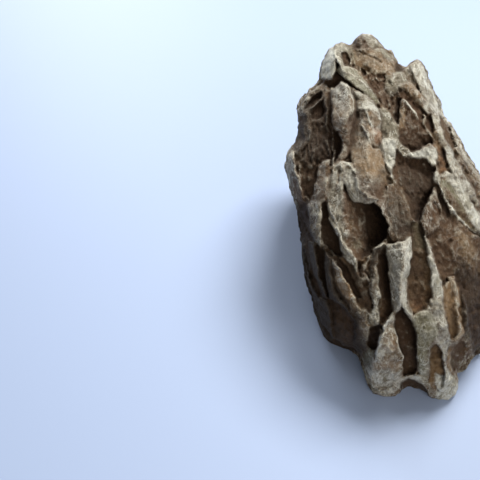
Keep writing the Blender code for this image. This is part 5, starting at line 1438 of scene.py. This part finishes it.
def stone_material():
    material = bpy.data.materials.new("weathered_stone")
    material.use_nodes = True
    make = Recipe(material)
    colours = {name: linear(value) for name, value in STONE_COLOURS.items()}
    noises = {name: make.noise(*values) for name, values in GRAINS.items()}
    grain = SimpleNamespace(**noises)
    colour = ground_coats(make, grain, colours)
    for share, name in wear_dust_and_light_coats(make, grain):
        colour = make.mix(share, colour, colours[name])
    shade = make.times(make.slope(grain.speckle, "speckle_shade"),
                       make.slope(grain.streaks, "streak_shade"))
    height = make.plus(*(make.times(noises[name], part) for name, part in BUMPS.items()))
    bump = make.new("ShaderNodeBump", {
        "Strength": BUMP_STRENGTH, "Distance": BUMP_HEIGHT, "Height": height})
    feed(make.tree, make.tree.nodes["Principled BSDF"], {
        "Base Color": make.mix(1.0, colour, shade, "MULTIPLY"),
        "Roughness": make.slope(grain.mottle, "roughness"),
        "Specular IOR Level": SPECULAR, "Normal": bump.outputs["Normal"]})
    return material


# ---- setting ----
FLOOR_SIZE = 3.0  # m, half its side
FLOOR_COLOUR = (0.33, 0.415, 0.60, 1.0)
FLOOR_ROUGHNESS = 0.6
LIGHTS = {  # place and aim m, size m, watts, colour
    "window": ((0.26, 0.42, 0.9), (0.0, 0.0, 0.05), 0.5, 16.2, (1.0, 0.98, 0.94)),
    "far_window": ((-0.5, 1.3, 0.6), (-0.1, 0.1, 0.0), 0.6, 12.0, (0.96, 0.98, 1.0)),
    "room": ((0.3, -1.1, 0.6), (0.0, 0.0, 0.03), 0.9, 7.5, (1.0, 0.93, 0.84)),
}
ROOM_COLOUR = (1.0, 0.98, 0.95, 1.0)
ROOM_BRIGHTNESS = 0.22


def floor():
    bm = bmesh.new()
    bmesh.ops.create_grid(bm, x_segments=1, y_segments=1, size=FLOOR_SIZE)
    plane = object_from(bm, "floor")
    material = bpy.data.materials.new("pale_floor")
    material.use_nodes = True
    tree = material.node_tree
    feed(tree, tree.nodes["Principled BSDF"], {
        "Base Color": FLOOR_COLOUR, "Roughness": FLOOR_ROUGHNESS})
    plane.data.materials.append(material)


def turn_to(piece, way):
    """Turns a light or a camera to look a given way."""
    piece.rotation_mode = "QUATERNION"
    piece.rotation_quaternion = Vector(way).to_track_quat("-Z", "Y")


def area_light(name, place, aim, size, watts, colour):
    light = bpy.data.lights.new(name, "AREA")
    light.size, light.energy, light.color = size, watts, colour
    lamp = linked(name, light)
    lamp.location = place
    turn_to(lamp, Vector(aim) - Vector(place))


def world_light():
    world = bpy.data.worlds.new("soft_room")
    bpy.context.scene.world = world
    world.use_nodes = True
    tree = world.node_tree
    feed(tree, tree.nodes["Background"], {"Color": ROOM_COLOUR, "Strength": ROOM_BRIGHTNESS})


def camera(place):
    data = bpy.data.cameras.new("camera")
    data.lens, data.sensor_width = LENS, SENSOR
    data.clip_start, data.clip_end = CLIP
    eye = linked("camera", data)
    eye.location = place
    turn_to(eye, -OUT)
    bpy.context.scene.camera = eye


def sculpted_stone():
    """The finished stone in mm, its field, and the tints of its face."""
    body = rough_body()
    field = Field(body)
    depth, tints = relief_map()
    press_face(field, depth)
    strew_hollows(field, body)
    crumble(field)
    rest_on_ground(field)
    bpy.data.objects.remove(body)
    stone = skin(field)
    drop_crumbs(stone)
    thin_out(stone)
    return stone, field, tints


stone, field, tints = sculpted_stone()
colour_marks(stone, field, tints)
to_solid = fit_to_solid(stone)
stone.data.shade_smooth()
stone.data.materials.append(stone_material())
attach(stone, "root")
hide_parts(NODE)

floor()
for light_name, light_values in LIGHTS.items():
    area_light(light_name, *light_values)
world_light()
camera(to_solid @ Vector(EYE))
bpy.context.scene.view_settings.view_transform = "Standard"
